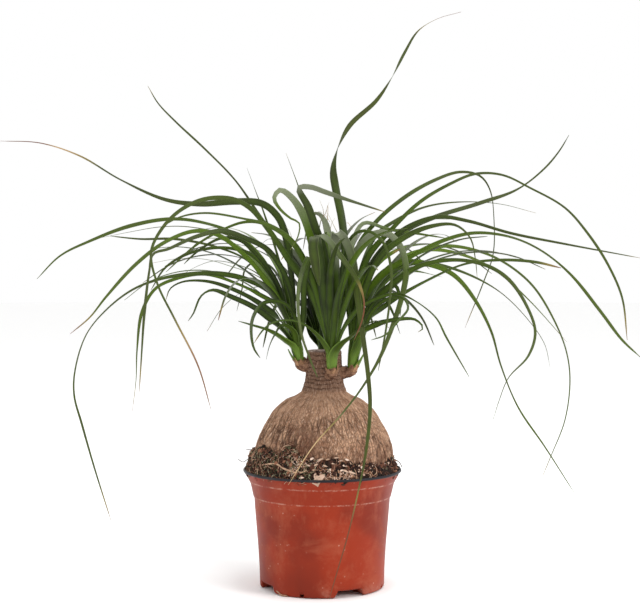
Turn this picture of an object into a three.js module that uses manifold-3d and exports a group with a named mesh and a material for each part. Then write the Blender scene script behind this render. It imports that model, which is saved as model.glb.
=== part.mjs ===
// Potted ponytail palm: a swollen woody stem in a round nursery pot, with leaf heads
// sprouting round the cut top of its neck. Millimetres, +Z up, origin under the pot's middle,
// -Y towards the viewer.
import * as THREE from 'three';
import { mergeVertices } from 'three/addons/utils/BufferGeometryUtils.js';
import Module from 'manifold-3d';

const wasm = await Module();
wasm.setup();

// The pot, a 14 cm nursery pot with a thin drawn wall.
const RIM_RADIUS = 70;
const POT_HEIGHT = 103.5;
const LIP_HEIGHT = 2.7;
const BASE_RADIUS = 54.9;
const BASE_CORNER = 2.5;
const BAND_LOW = 80;
const BAND_HIGH = 93;
const WALL = 1.2;
const POT_SIDES = 40;
const CHANNEL_COUNT = 4;
const CHANNEL_FIRST_ANGLE = 26.5;
const CHANNEL_WIDTH = 25;
const CHANNEL_HEIGHT = 6;
const CHANNEL_START = 20;
const DRAIN_WIDTH = 4;
const DRAIN_HEIGHT = 2.2;
const GAP = 0.3;

// The swollen stem: its middle stands a little to the right of the pot's.
const STEM_SHIFT = 1.8;
const STEM_BOTTOM = 46;
const BULB_RADIUS = 61;
const BULB_HEIGHT = 119;
const SHOULDER_HEIGHT = 168;
const NECK_RADIUS = 15.6;
const STEM_TOP = 208;
const CUT_BEVEL = 1.3;
const STEM_SIDES = 32;
const OUT_OF_ROUND = 0.012;
const SWAY = 0.008;

// The soil, heaped from the rim up against the bulb, highest at the left front.
const SOIL_EDGE = 100.3;
const SOIL_HEAP = 11;
const HEAP_START = 0.8;
const HEAP_END = 9.5;
const SOIL_LUMPS = 2;
const MOUND_RISE = 8.5;
const MOUND_ANGLE = 225;

// How the leaves were sighted: a leaf's route is read off the photograph as columns and rows,
// and a depth puts each point on its line of sight.
const EYE_DISTANCE = 1400;
const EYE_HEIGHT = 310;
const AXIS_COLUMN = 322;
const EYE_ROW = 235;
const PIXEL = 0.886;

// The leaf blades.
const LEAF_THICKNESS = 0.75;
const LEAF_FLARE = 0.3;
const LEAF_FLARE_LENGTH = 0.14;
const LEAF_TAPER_START = 0.35;
const LEAF_TAPER_POWER = 1.5;
const LEAF_TIP = 0.16;
const LEAF_ROOT_SPREAD = 0.04;
const SPRUNG_STEPS = 7;
const SPRUNG_VEER = 26;
const SPRUNG_FOOT = 0.3;
const SHOOT_SIDES = 12;
const SHOOT_TIP = 2;

const UP = new THREE.Vector3(0, 0, 1);
const SAME_POINT = 1e-4;

const COLOURS = {
  pot: 0xa53c28,
  soil: 0x2e2620,
  stem: 0x967859,
  leaf: 0x3c5a28,
  darkLeaf: 0x33491f,
};

// A solid from a geometry, with its seams closed and its flattened triangles left off.
function solid(geometry) {
  geometry.deleteAttribute('normal');
  geometry.deleteAttribute('uv');
  const merged = mergeVertices(geometry, SAME_POINT);
  const corners = merged.index.array;
  const triangles = [];
  for (let i = 0; i < corners.length; i += 3) {
    const [a, b, c] = corners.slice(i, i + 3);
    if (a !== b && b !== c && c !== a) {
      triangles.push(a, b, c);
    }
  }
  return new wasm.Manifold(new wasm.Mesh({
    numProp: 3,
    vertProperties: Float32Array.from(merged.attributes.position.array),
    triVerts: Uint32Array.from(triangles),
  }));
}

// A named mesh from a solid.
function piece(name, form, colour, roughness) {
  const { vertProperties, triVerts } = form.getMesh();
  const geometry = new THREE.BufferGeometry();
  geometry.setAttribute('position', new THREE.Float32BufferAttribute(vertProperties, 3));
  geometry.setIndex(Array.from(triVerts));
  geometry.computeVertexNormals();
  const material = new THREE.MeshStandardMaterial({ color: colour, roughness, metalness: 0 });
  const mesh = new THREE.Mesh(geometry, material);
  mesh.name = name;
  return mesh;
}

// A turned solid from [radius, height] points that start and end on the axis.
function turned(profile, sides) {
  const points = profile.map(([radius, height]) => new THREE.Vector2(radius, height));
  return new THREE.LatheGeometry(points, sides).rotateX(Math.PI / 2);
}

// The pot's outside from the base corner up to the lip, moved in by an inset.
function potWall(inset) {
  const corner = [0, 30, 60, 90].map((degrees) => {
    const angle = THREE.MathUtils.degToRad(degrees);
    const radius = BASE_RADIUS - BASE_CORNER + (BASE_CORNER - inset) * Math.sin(angle);
    return [radius, BASE_CORNER - (BASE_CORNER - inset) * Math.cos(angle)];
  });
  const side = [
    [BASE_RADIUS + 2.6, 49],
    [BASE_RADIUS + 4.9, BAND_LOW - 5],
    [BASE_RADIUS + 5.6, BAND_LOW],
    [BASE_RADIUS + 8.9, BAND_HIGH],
    [BASE_RADIUS + 12.1, BAND_HIGH + 4.4],
    [RIM_RADIUS, POT_HEIGHT - LIP_HEIGHT],
  ];
  return [...corner, ...side.map(([radius, height]) => [radius - inset, height])];
}

// The raised drainage channels under the pot, grown by a margin.
function channels(margin) {
  let all = null;
  for (let i = 0; i < CHANNEL_COUNT; i += 1) {
    const length = RIM_RADIUS - CHANNEL_START + margin;
    const height = 2 * (CHANNEL_HEIGHT + margin);
    const box = new THREE.BoxGeometry(length, CHANNEL_WIDTH + 2 * margin, height);
    box.translate(CHANNEL_START + length / 2 - margin, 0, 0);
    box.rotateZ(THREE.MathUtils.degToRad(CHANNEL_FIRST_ANGLE - 90 + (i * 360) / CHANNEL_COUNT));
    const channel = solid(box);
    all = all ? all.add(channel) : channel;
  }
  return all;
}

// The pot: a thin shell with a rolled lip, channels under its base and a drain between each.
function makePot() {
  const outside = potWall(0);
  const inside = potWall(WALL);
  const lipTop = [[RIM_RADIUS, POT_HEIGHT], [RIM_RADIUS - WALL, POT_HEIGHT]];
  const shell = solid(turned([[0, 0], ...outside, ...lipTop, [0, POT_HEIGHT]], POT_SIDES));
  const hollow = solid(turned([
    [0, WALL],
    ...inside,
    [RIM_RADIUS - WALL, POT_HEIGHT + 1],
    [0, POT_HEIGHT + 1],
  ], POT_SIDES));
  let pot = shell.subtract(channels(0)).subtract(hollow.subtract(channels(WALL)));
  for (let i = 0; i < CHANNEL_COUNT; i += 1) {
    const drain = new THREE.BoxGeometry(BASE_CORNER * 3, DRAIN_WIDTH, DRAIN_HEIGHT);
    drain.translate(BASE_RADIUS - BASE_CORNER / 2, 0, DRAIN_HEIGHT);
    drain.rotateZ(THREE.MathUtils.degToRad(CHANNEL_FIRST_ANGLE - 45 + (i * 360) / CHANNEL_COUNT));
    pot = pot.subtract(solid(drain));
  }
  return pot;
}

// The stem's outline, grown by a margin: the buried underside, the bulb, its shoulder and the
// neck. Its [radius, height] points are shares of the bulb's radius, then of the neck's.
function stemOutline(margin) {
  const outline = [
    [BULB_RADIUS * 0.42, STEM_BOTTOM + 3],
    [BULB_RADIUS * 0.75, STEM_BOTTOM + 15],
    [BULB_RADIUS * 0.93, STEM_BOTTOM + 34],
    [BULB_RADIUS, STEM_BOTTOM + 56],
    [BULB_RADIUS, BULB_HEIGHT],
    [BULB_RADIUS * 0.97, BULB_HEIGHT + 9],
    [BULB_RADIUS * 0.91, BULB_HEIGHT + 18],
    [BULB_RADIUS * 0.82, BULB_HEIGHT + 27],
    [BULB_RADIUS * 0.73, BULB_HEIGHT + 36],
    [BULB_RADIUS * 0.56, SHOULDER_HEIGHT - 4],
    [BULB_RADIUS * 0.41, SHOULDER_HEIGHT],
    [NECK_RADIUS * 1.31, SHOULDER_HEIGHT + 4],
    [NECK_RADIUS * 1.13, SHOULDER_HEIGHT + 11],
    [NECK_RADIUS * 1.05, SHOULDER_HEIGHT + 19],
    [NECK_RADIUS, SHOULDER_HEIGHT + 29],
    [NECK_RADIUS * 0.98, STEM_TOP - 3],
    [NECK_RADIUS - CUT_BEVEL, STEM_TOP + margin],
  ];
  return outline.map(([radius, height]) => [radius + margin, height]);
}

// The swollen stem, grown by a margin.
function makeStem(margin) {
  const form = turned([
    [0, STEM_BOTTOM - margin],
    ...stemOutline(margin),
    [0, STEM_TOP + margin],
  ], STEM_SIDES);
  // The bulb is a little out of round, the more so where it is widest.
  const place = form.attributes.position;
  for (let i = 0; i < place.count; i += 1) {
    const x = place.getX(i);
    const y = place.getY(i);
    const angle = Math.atan2(y, x);
    const sway = SWAY * Math.sin(5 * angle + place.getZ(i) / 20);
    const stretch = 1 + OUT_OF_ROUND * Math.sin(3 * angle) + sway;
    place.setXY(i, x * stretch + STEM_SHIFT, y * stretch);
  }
  return solid(form);
}

// The height of the heaped soil at a radius and an angle round the pot.
function soilHeight(radius, angle) {
  const heap = THREE.MathUtils.smoothstep(RIM_RADIUS - radius, HEAP_START, HEAP_END);
  const mound = MOUND_RISE * Math.cos((angle - THREE.MathUtils.degToRad(MOUND_ANGLE)) / 2) ** 2;
  const lumps = SOIL_LUMPS * Math.sin(7 * angle + radius / 5) * Math.sin(4 * angle + 1);
  return SOIL_EDGE + heap * (SOIL_HEAP + mound + lumps);
}

// The soil, which fills the pot round the stem.
function makeSoil() {
  const wall = potWall(WALL + GAP).slice(1, -1);
  const edge = [RIM_RADIUS - WALL - 2 * GAP, SOIL_EDGE];
  const crest = [66.5, 63.5, 60, 50, 0].map((radius) => [radius, POT_HEIGHT]);
  const form = turned([[0, WALL + GAP], ...wall, edge, ...crest], POT_SIDES);
  const place = form.attributes.position;
  for (let i = 0; i < place.count; i += 1) {
    if (place.getZ(i) > SOIL_EDGE + GAP) {
      const radius = Math.hypot(place.getX(i), place.getY(i));
      place.setZ(i, soilHeight(radius, Math.atan2(place.getY(i), place.getX(i))));
    }
  }
  return solid(form).subtract(channels(WALL + GAP)).subtract(makeStem(GAP));
}

// The leaf heads. Each has the foot of its short sheathed shoot, where it leaves the neck, the
// shoot's lean, and its depth. A leaf is [width, turn, reach, route]: its widest width, the
// degrees that its upper face turns towards the viewer, how much further back its tip lies than
// its root, and the columns and rows of its route from root to tip. A sprung leaf has no route
// of its own: [width, turn, heading, length, first slope, last slope], with angles in degrees
// and the heading counted from the right, backwards.
const HEADS = [
  {
    name: 'head_left',
    colour: COLOURS.leaf,
    foot: [300, 361],
    crown: [291, 318],
    depth: -3,
    radius: 7.5,
    leaves: [
      [7.5, 50, 26, [[300, 352], [293, 305], [290, 265], [286, 237], [278, 217], [262, 203.5],
        [235, 201.5], [200, 204], [165, 199.5], [120, 179.5], [80, 156], [40, 143], [0, 141]]],
      [6.5, 45, -80, [[297, 350], [280, 304], [258, 270], [240, 251], [218, 235], [195, 231],
        [165, 242], [135, 265], [105, 298], [90, 317], [70, 334]]],
      [7, 40, 95, [[296, 348], [275, 285], [255, 252], [232, 233], [200, 222], [170, 219],
        [130, 226], [90, 241], [60, 256], [37, 279]]],
      [5, 45, -150, [[298, 345], [291, 292], [270, 252], [245, 238], [222, 231], [195, 237],
        [168, 249], [153, 254], [149, 272], [144, 315], [141, 360], [139, 392]]],
      [4, 35, 140, [[296, 345], [275, 288], [250, 262], [220, 248], [175, 239], [140, 239],
        [110, 236]]],
      [3.4, 35, 170, [[294, 340], [265, 262], [235, 238], [190, 227], [160, 227], [130, 232],
        [100, 238]]],
      [5, 45, -25, [[297, 346], [278, 285], [258, 256], [240, 240], [222, 238], [205, 246],
        [192, 256], [184, 264]]],
      [4, 40, 25, [[296, 344], [275, 282], [252, 255], [235, 249], [212, 248], [185, 255],
        [165, 268], [151, 290]]],
      [5, 50, -115, [[297, 350], [275, 297], [250, 281], [222, 274], [190, 274], [160, 279],
        [132, 290], [105, 311], [86, 335], [75, 370], [74, 395], [82, 425], [94, 467], [111, 521]]],
      [5, 40, -20, [[297, 350], [280, 308], [262, 296], [240, 285], [205, 274], [175, 279],
        [155, 289], [142, 312], [137, 350], [136, 380], [132, 413]]],
      [7, 40, 70, [[298, 350], [285, 327], [262, 305], [230, 288], [205, 281], [182, 282],
        [170, 289], [166, 300]]],
      [7, 45, -60, [[297, 354], [285, 334], [260, 311], [232, 297], [212, 290], [201, 296],
        [193, 314], [188, 321]]],
      [5, 40, -35, [[298, 356], [287, 344], [270, 331], [252, 325], [238, 321]]],
      [5, 20, -100, [[300, 350], [296, 322], [288, 306], [275, 301], [262, 304], [253, 317],
        [251, 332], [254, 349], [260, 358]]],
      [4, 30, -65, [[298, 350], [293, 332], [282, 325], [275, 334], [269, 347], [266, 360]]],
      [3.2, 40, 150, [[297, 345], [284, 290], [270, 266], [255, 262], [245, 270], [242, 290],
        [237, 311]]],
      [6, 10, -130, [[302, 350], [303, 320], [304, 285], [309, 257], [304, 266], [299, 285],
        [298, 310], [302, 337], [309, 357], [317, 377]]],
      [3.2, 40, 120, [[296, 345], [275, 295], [258, 274], [235, 264], [214, 261], [198, 266],
        [183, 274]]],
      [3.2, 40, 180, [[296, 345], [280, 300], [262, 279], [230, 266], [203, 259], [175, 259],
        [153, 263]]],
      [3, 40, 40, [[298, 345], [284, 280], [264, 213], [256, 192], [247, 168]]],
      [5, 30, -5, [[300, 359], [294, 355], [288, 349]]],
    ],
    sprung: [
      [7, 10, 115, 200, 82, -10],
      [6, 0, 140, 230, 78, -30],
      [6, 15, 165, 190, 76, -45],
      [7, 20, 195, 170, 80, -10],
      [6, 0, 235, 190, 74, -50],
    ],
  },
  {
    name: 'head_centre',
    colour: COLOURS.leaf,
    foot: [332, 369],
    crown: [331, 322],
    depth: -19,
    radius: 8,
    leaves: [
      [5, 40, 120, [[328, 355], [316, 305], [300, 271], [280, 245], [260, 216], [235, 180],
        [205, 149], [175, 121], [158, 103], [148, 86]]],
      [6, 45, -80, [[328, 355], [312, 295], [290, 262], [268, 229], [250, 208], [232, 199],
        [205, 199], [182, 209], [163, 227], [151, 252], [157, 283], [175, 320], [198, 366],
        [211, 410]]],
      [6, 45, -60, [[329, 355], [314, 285], [293, 243], [270, 226], [240, 218], [205, 213],
        [180, 217], [163, 226]]],
      [4, 40, 56, [[327, 352], [312, 280], [290, 241], [265, 224], [245, 222], [222, 230],
        [195, 246], [166, 272]]],
      [3.4, 40, -60, [[328, 360], [318, 337], [305, 325], [288, 320], [270, 324], [262, 331],
        [254, 343]]],
      [8, 30, -55, [[329, 355], [322, 300], [314, 250], [304, 217], [292, 198], [280, 190],
        [274, 198], [279, 208], [290, 218], [299, 223], [298, 236], [290, 250]]],
      [8, 30, -75, [[330, 355], [328, 300], [323, 250], [316, 230], [308, 207], [299, 188],
        [310, 187], [325, 192], [345, 199], [385, 212]]],
      [3.2, 40, 90, [[329, 350], [322, 255], [308, 218], [299, 188], [286, 153]]],
      [7.5, 55, 30, [[332, 355], [340, 300], [345, 255], [342, 220], [336, 190], [333, 168],
        [338, 147], [350, 125], [376, 101], [391, 79], [405, 52], [418, 31], [437, 19], [461, 12]]],
      [8, 20, 60, [[331, 355], [333, 290], [330, 245], [323, 218], [316, 213], [308, 226],
        [303, 250]]],
      [8.5, 10, 50, [[331, 355], [335, 300], [334, 255], [330, 232], [326, 240], [322, 262]]],
      [7.5, 10, -92, [[332, 355], [337, 300], [335, 250], [337, 232], [345, 240], [353, 262],
        [357, 292], [362, 330], [368, 375], [370, 408], [366, 450], [359, 487], [348, 534],
        [336, 575], [329, 599]]],
      [8.5, 20, -75, [[330, 355], [324, 300], [318, 250], [318, 235], [326, 238], [338, 253],
        [350, 269], [359, 284], [364, 303], [362, 320], [354, 340]]],
      [8.5, 10, -60, [[329, 355], [325, 300], [318, 250], [315, 236], [313, 245], [315, 262],
        [319, 286]]],
      [9, 10, -20, [[330, 355], [328, 300], [326, 262], [325, 232]]],
      [7, 25, -50, [[332, 355], [334, 325], [337, 298], [346, 268]]],
      [6, 40, 44, [[332, 355], [343, 305], [350, 268], [354, 238], [364, 223], [388, 229],
        [420, 234], [445, 238]]],
      [3.5, 30, -60, [[331, 362], [341, 346], [352, 336], [365, 325], [378, 321], [389, 328]]],
      [5, 40, -70, [[333, 356], [345, 327], [358, 309], [378, 298], [398, 294], [415, 301],
        [436, 318], [446, 337], [469, 377]]],
    ],
    sprung: [
      [7, 0, 262, 150, 84, 10],
      [6, 10, 300, 160, 80, -15],
      [7, 0, 285, 180, 84, 0],
    ],
  },
  {
    name: 'head_right',
    colour: COLOURS.leaf,
    foot: [352, 367],
    crown: [358, 318],
    depth: -4,
    radius: 8.5,
    leaves: [
      [6, 45, 90, [[350, 352], [353, 300], [358, 248], [375, 223], [405, 197], [435, 180],
        [460, 172], [480, 176], [490, 190], [494, 220], [493, 255], [484, 281], [465, 328]]],
      [6.5, 45, -80, [[351, 352], [357, 295], [368, 257], [390, 231], [420, 202], [450, 184],
        [475, 174], [502, 175], [530, 188], [565, 208], [588, 234], [608, 265], [622, 298],
        [627, 340]]],
      [4.5, 40, 140, [[350, 350], [356, 290], [375, 237], [395, 221], [425, 207], [460, 202],
        [500, 204], [536, 213]]],
      [5.5, 45, 84, [[351, 350], [358, 295], [380, 252], [405, 231], [435, 217], [480, 203],
        [518, 189], [545, 168], [560, 150], [569, 135]]],
      [6, 45, -40, [[351, 350], [358, 300], [380, 254], [403, 230], [437, 217], [468, 221],
        [510, 233], [565, 244], [640, 258]]],
      [6.5, 45, -110, [[352, 352], [362, 300], [378, 260], [400, 240], [428, 227], [455, 225],
        [470, 238], [475, 258], [477, 278]]],
      [8, 45, -65, [[353, 354], [360, 312], [380, 277], [410, 257], [445, 240], [475, 233],
        [510, 237], [540, 250], [570, 274], [600, 311], [622, 340], [640, 357]]],
      [5, 40, 110, [[351, 350], [362, 305], [388, 270], [415, 254], [445, 246], [478, 251],
        [505, 263], [532, 285], [552, 316], [566, 350], [570, 380], [565, 420], [551, 456],
        [541, 480]]],
      [4, 35, 165, [[351, 350], [370, 290], [397, 261], [425, 250], [460, 254], [495, 270],
        [530, 301], [567, 342]]],
      [6.5, 45, -150, [[353, 355], [362, 320], [385, 291], [415, 268], [450, 260], [485, 265],
        [508, 279], [526, 305], [535, 332], [528, 356], [508, 378], [499, 400], [493, 419]]],
      [6, 45, -20, [[353, 355], [367, 322], [395, 299], [430, 279], [465, 264], [500, 260],
        [535, 262], [561, 268]]],
      [5.5, 40, 30, [[352, 352], [368, 305], [388, 272], [408, 262], [435, 266], [455, 276],
        [475, 300], [491, 331], [501, 366], [518, 407], [545, 447], [575, 494]]],
      [3.5, 40, 85, [[352, 350], [375, 295], [398, 269], [425, 263], [460, 271], [500, 292],
        [530, 322], [545, 345], [550, 367]]],
      [5, 35, -30, [[353, 352], [370, 308], [385, 288], [395, 285], [400, 300], [400, 316]]],
      [4, 30, -100, [[353, 352], [372, 312], [390, 298], [403, 298], [408, 308], [398, 321],
        [385, 335], [371, 340]]],
      [5.5, 35, -75, [[353, 358], [360, 336], [375, 325], [400, 319], [416, 320], [423, 328],
        [418, 332]]],
      [7.5, 15, -82, [[352, 352], [350, 300], [352, 262], [361, 245], [374, 234], [388, 234],
        [400, 246], [406, 268], [403, 292], [391, 330], [379, 359], [361, 389], [340, 416],
        [314, 445], [288, 485]]],
      [4, 20, -85, [[350, 352], [346, 290], [348, 243], [358, 232], [371, 232], [384, 244],
        [391, 270], [390, 296], [386, 328], [378, 371]]],
      [4, 30, -35, [[353, 352], [366, 315], [382, 297], [391, 309], [400, 334]]],
      [4, 40, 120, [[352, 350], [360, 295], [376, 265], [395, 251], [415, 245], [432, 244]]],
      [3.5, 40, 60, [[352, 352], [376, 295], [395, 275], [413, 271], [442, 277]]],
      [8, 40, -30, [[353, 354], [358, 310], [366, 279], [382, 260], [400, 249]]],
      [6, 30, -6, [[353, 365], [358, 360], [364, 353]]],
    ],
    sprung: [
      [7, 0, 330, 190, 80, -20],
      [6, 10, 10, 210, 78, -30],
      [6, 0, 40, 220, 80, -20],
      [7, 10, 65, 210, 82, -5],
      [6, 20, 355, 170, 82, 0],
    ],
  },
  {
    name: 'head_back',
    colour: COLOURS.darkLeaf,
    foot: [323, 362],
    crown: [323, 318],
    depth: 22,
    radius: 7.5,
    leaves: [
      [7, 20, 70, [[319, 350], [311, 335], [310, 300], [316, 250], [324, 214], [330, 222]]],
      [5, 20, 90, [[322, 350], [321, 290], [326, 240], [328, 205], [326, 214]]],
      [5, 20, 110, [[326, 350], [330, 290], [340, 240], [347, 222], [353, 230]]],
    ],
    sprung: [
      [7, 0, 90, 240, 80, -35],
      [6, 10, 70, 250, 78, -40],
      [7, -10, 108, 245, 80, -45],
      [6, 10, 48, 250, 76, -40],
      [6, 0, 130, 240, 76, -35],
      [7, 0, 41, 185, 66, -20],
      [6, 10, 143, 230, 74, -40],
      [6, 0, 82, 210, 70, -70],
      [6, 0, 100, 220, 68, -75],
      [5, 10, 60, 210, 66, -70],
      [5, -10, 122, 200, 66, -60],
      [7, 0, 78, 180, 86, 10],
      [7, 0, 112, 170, 85, 0],
      [6, 0, 95, 265, 82, -50],
      [6, 0, 57, 200, 84, -10],
      [6, 0, 128, 190, 84, -15],
    ],
  },
];

// The place that is seen at a column and a row, at a depth behind the pot's axis.
function sighted([column, row], depth) {
  const scale = PIXEL * (1 + depth / EYE_DISTANCE);
  const x = (column - AXIS_COLUMN) * scale;
  return new THREE.Vector3(x, depth, EYE_HEIGHT - (row - EYE_ROW) * scale);
}

// A traced leaf's middle line: its depth eases from its root's to its tip's.
function tracedLine(head, [, , reach, route]) {
  const lengths = [0];
  for (let i = 1; i < route.length; i += 1) {
    const step = Math.hypot(route[i][0] - route[i - 1][0], route[i][1] - route[i - 1][1]);
    lengths.push(lengths[i - 1] + step);
  }
  const points = route.map((point, i) => {
    const ease = THREE.MathUtils.smoothstep(lengths[i] / lengths.at(-1), 0, 1);
    const share = LEAF_ROOT_SPREAD + (1 - LEAF_ROOT_SPREAD) * ease;
    return sighted(point, head.depth + reach * share);
  });
  return new THREE.CatmullRomCurve3(points);
}

// A sprung leaf's middle line: it leaves the shoot steeply, bends over at a steady rate and
// veers a little sideways, every other leaf to the left.
function sprungLine(head, [, , heading, length, firstSlope, lastSlope], index) {
  const veer = index % 2 ? -SPRUNG_VEER : SPRUNG_VEER;
  const step = length / SPRUNG_STEPS;
  const out = new THREE.Vector3(1, 0, 0);
  out.applyAxisAngle(UP, THREE.MathUtils.degToRad(heading));
  const point = sighted(head.foot, head.depth);
  point.lerp(sighted(head.crown, head.depth), SPRUNG_FOOT);
  point.addScaledVector(out, head.radius / 2);
  const points = [point.clone()];
  for (let i = 0; i < SPRUNG_STEPS; i += 1) {
    const along = (i + 0.5) / SPRUNG_STEPS;
    const slope = THREE.MathUtils.degToRad(THREE.MathUtils.lerp(firstSlope, lastSlope, along));
    point.addScaledVector(out, Math.cos(slope) * step);
    point.z += Math.sin(slope) * step;
    points.push(point.clone());
    out.applyAxisAngle(UP, THREE.MathUtils.degToRad(veer / SPRUNG_STEPS));
  }
  return new THREE.CatmullRomCurve3(points);
}

// How wide a leaf is along its length, as a share of its widest width.
function leafWidth(along) {
  const flare = LEAF_FLARE * (1 - THREE.MathUtils.smoothstep(along, 0, LEAF_FLARE_LENGTH));
  const past = Math.max(0, (along - LEAF_TAPER_START) / (1 - LEAF_TAPER_START));
  return flare + LEAF_TIP + (1 - LEAF_TIP) * (1 - past ** LEAF_TAPER_POWER);
}

// A strap of even thickness with a section at each point of its middle line, split into
// triangles alike on both faces.
function blade(line, width, turn) {
  const middles = line.points;
  const steps = middles.length - 1;
  const lengths = [0];
  for (let i = 1; i <= steps; i += 1) {
    lengths.push(lengths[i - 1] + middles[i].distanceTo(middles[i - 1]));
  }
  const heading = middles[steps].clone().sub(middles[0]).setZ(0).normalize();
  const across = heading.clone().cross(UP);
  const roll = THREE.MathUtils.degToRad(turn) * (across.y >= 0 ? 1 : -1);
  const places = [];
  for (let i = 0; i <= steps; i += 1) {
    const tangent = line.getTangent(i / steps);
    const side = across.clone().addScaledVector(tangent, -across.dot(tangent)).normalize();
    side.applyAxisAngle(tangent, roll);
    const face = side.clone().cross(tangent);
    const half = (width * leafWidth(lengths[i] / lengths[steps])) / 2;
    for (const [sideways, upward] of [[-1, 1], [1, 1], [1, -1], [-1, -1]]) {
      const corner = middles[i].clone().addScaledVector(side, sideways * half);
      corner.addScaledVector(face, (upward * LEAF_THICKNESS) / 2);
      places.push(corner.x, corner.y, corner.z);
    }
  }
  const faces = [0, 2, 1, 0, 3, 2];
  for (let i = 0; i < steps; i += 1) {
    for (let j = 0; j < 4; j += 1) {
      const a = 4 * i + j;
      const b = 4 * i + ((j + 1) % 4);
      // The lower face's quads run the other way across, so its diagonal is swapped to match.
      const split = j === 2 ? [a, b, a + 4, b, b + 4, a + 4] : [a, b, b + 4, a, b + 4, a + 4];
      faces.push(...split);
    }
  }
  const last = 4 * steps;
  faces.push(last, last + 1, last + 2, last, last + 2, last + 3);
  const form = new THREE.BufferGeometry();
  form.setAttribute('position', new THREE.Float32BufferAttribute(places, 3));
  form.setIndex(faces);
  return form;
}

// The shoot under a head: overlapping leaf bases, drawn as one body that swells and closes.
function shoot(head) {
  const foot = sighted(head.foot, head.depth);
  const crown = sighted(head.crown, head.depth);
  const length = foot.distanceTo(crown);
  const { radius } = head;
  const form = turned([
    [0, 0],
    [radius * 0.62, 1.2],
    [radius * 0.95, length * 0.22],
    [radius, length * 0.5],
    [radius * 0.85, length * 0.8],
    [radius * 0.45, length],
    [0, length + SHOOT_TIP],
  ], SHOOT_SIDES);
  const lean = new THREE.Quaternion();
  lean.setFromUnitVectors(UP, crown.sub(foot).normalize());
  form.applyQuaternion(lean).translate(foot.x, foot.y, foot.z);
  return solid(form);
}

// A head's shoot and its leaves, still apart.
function headForms(head) {
  const forms = [shoot(head)];
  for (const leaf of head.leaves) {
    forms.push(solid(blade(tracedLine(head, leaf), leaf[0], leaf[1])));
  }
  head.sprung.forEach((leaf, index) => {
    forms.push(solid(blade(sprungLine(head, leaf, index), leaf[0], leaf[1])));
  });
  return forms;
}

// The outer skin of joined leaves, with any hollow that they seal between them filled.
function mainSkin(form) {
  const skins = form.decompose();
  return skins.reduce((best, skin) => (skin.volume() > best.volume() ? skin : best));
}

// A head: its shoot and leaves joined into one solid that stands clear of the neck.
function makeHead(head, room) {
  let all = null;
  for (const form of headForms(head)) {
    all = all ? all.add(form) : form;
  }
  return mainSkin(all.subtract(room));
}

const palm = new THREE.Group();
palm.add(piece('pot', makePot(), COLOURS.pot, 0.55));
palm.add(piece('soil', makeSoil(), COLOURS.soil, 0.95));
palm.add(piece('trunk', makeStem(0), COLOURS.stem, 0.85));
const neckRoom = makeStem(GAP);
for (const head of HEADS) {
  palm.add(piece(head.name, makeHead(head, neckRoom), head.colour, 0.45));
}

export default palm;
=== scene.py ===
# %% [markdown]
# # A potted ponytail palm
#
# A ponytail palm is a desert plant that keeps its water in a swollen, corky stem. This young
# one stands in a thin red nursery pot. Its neck was once cut off flat, and four heads of long
# strap leaves have sprouted round the cut.
#
# The measured model holds the plain forms: pot, soil, stem and heads, in metres, with the
# origin under the middle of the pot and -Y towards the viewer. This notebook gives each of
# them its finished surface. It loads the measured forms first, so that every finished piece
# can be set where its plain one stands.

# %% Load the measured forms
import math
import random

import bpy
import numpy as np
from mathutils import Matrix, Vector, noise


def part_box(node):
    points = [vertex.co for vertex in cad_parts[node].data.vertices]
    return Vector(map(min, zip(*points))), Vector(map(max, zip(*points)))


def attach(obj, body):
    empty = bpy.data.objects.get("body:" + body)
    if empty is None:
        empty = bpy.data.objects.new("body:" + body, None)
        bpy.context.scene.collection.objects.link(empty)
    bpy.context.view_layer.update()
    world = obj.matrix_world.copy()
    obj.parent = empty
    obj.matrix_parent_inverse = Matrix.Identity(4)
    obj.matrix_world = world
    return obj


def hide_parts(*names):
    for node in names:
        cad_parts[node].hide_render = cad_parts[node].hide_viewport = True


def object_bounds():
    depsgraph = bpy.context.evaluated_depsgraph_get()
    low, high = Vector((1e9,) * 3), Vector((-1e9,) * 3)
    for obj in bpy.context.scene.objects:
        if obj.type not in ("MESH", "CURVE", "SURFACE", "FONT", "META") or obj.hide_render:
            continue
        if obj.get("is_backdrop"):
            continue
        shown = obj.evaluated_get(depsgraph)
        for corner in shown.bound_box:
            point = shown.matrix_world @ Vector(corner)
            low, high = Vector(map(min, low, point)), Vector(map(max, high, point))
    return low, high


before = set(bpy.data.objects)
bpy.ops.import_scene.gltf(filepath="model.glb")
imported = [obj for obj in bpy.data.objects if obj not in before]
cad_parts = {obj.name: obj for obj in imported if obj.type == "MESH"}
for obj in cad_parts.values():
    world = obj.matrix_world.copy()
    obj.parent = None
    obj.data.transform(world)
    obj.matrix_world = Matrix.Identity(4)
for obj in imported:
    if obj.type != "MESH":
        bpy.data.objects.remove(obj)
measured_box = [list(corner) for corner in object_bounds()]
MM = 0.001
for name in sorted(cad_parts):
    low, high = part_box(name)
    print(name, "measures", " x ".join(f"{side / MM:.0f}" for side in high - low), "mm")

# %% [markdown]
# ## The camera
#
# The rim and the base of the pot show as two ellipses, and their flatness tells how high the
# lens stands above each of them. A long lens from 1.4 m away, level and a little above the
# middle of the plant, gives both. The frame is shifted down instead of the lens being tipped,
# as in a studio camera, so that upright things stay upright. A short lens close by would make
# the rim's ellipse far too round, so the distance matters as much as the framing.

# %% The camera
EYE_DISTANCE, EYE_HEIGHT = 1400, 310

def new_object(name, data):
    """An object in the scene that holds a camera, a lamp or a mesh."""
    thing = bpy.data.objects.new(name, data)
    bpy.context.scene.collection.objects.link(thing)
    return thing

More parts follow.
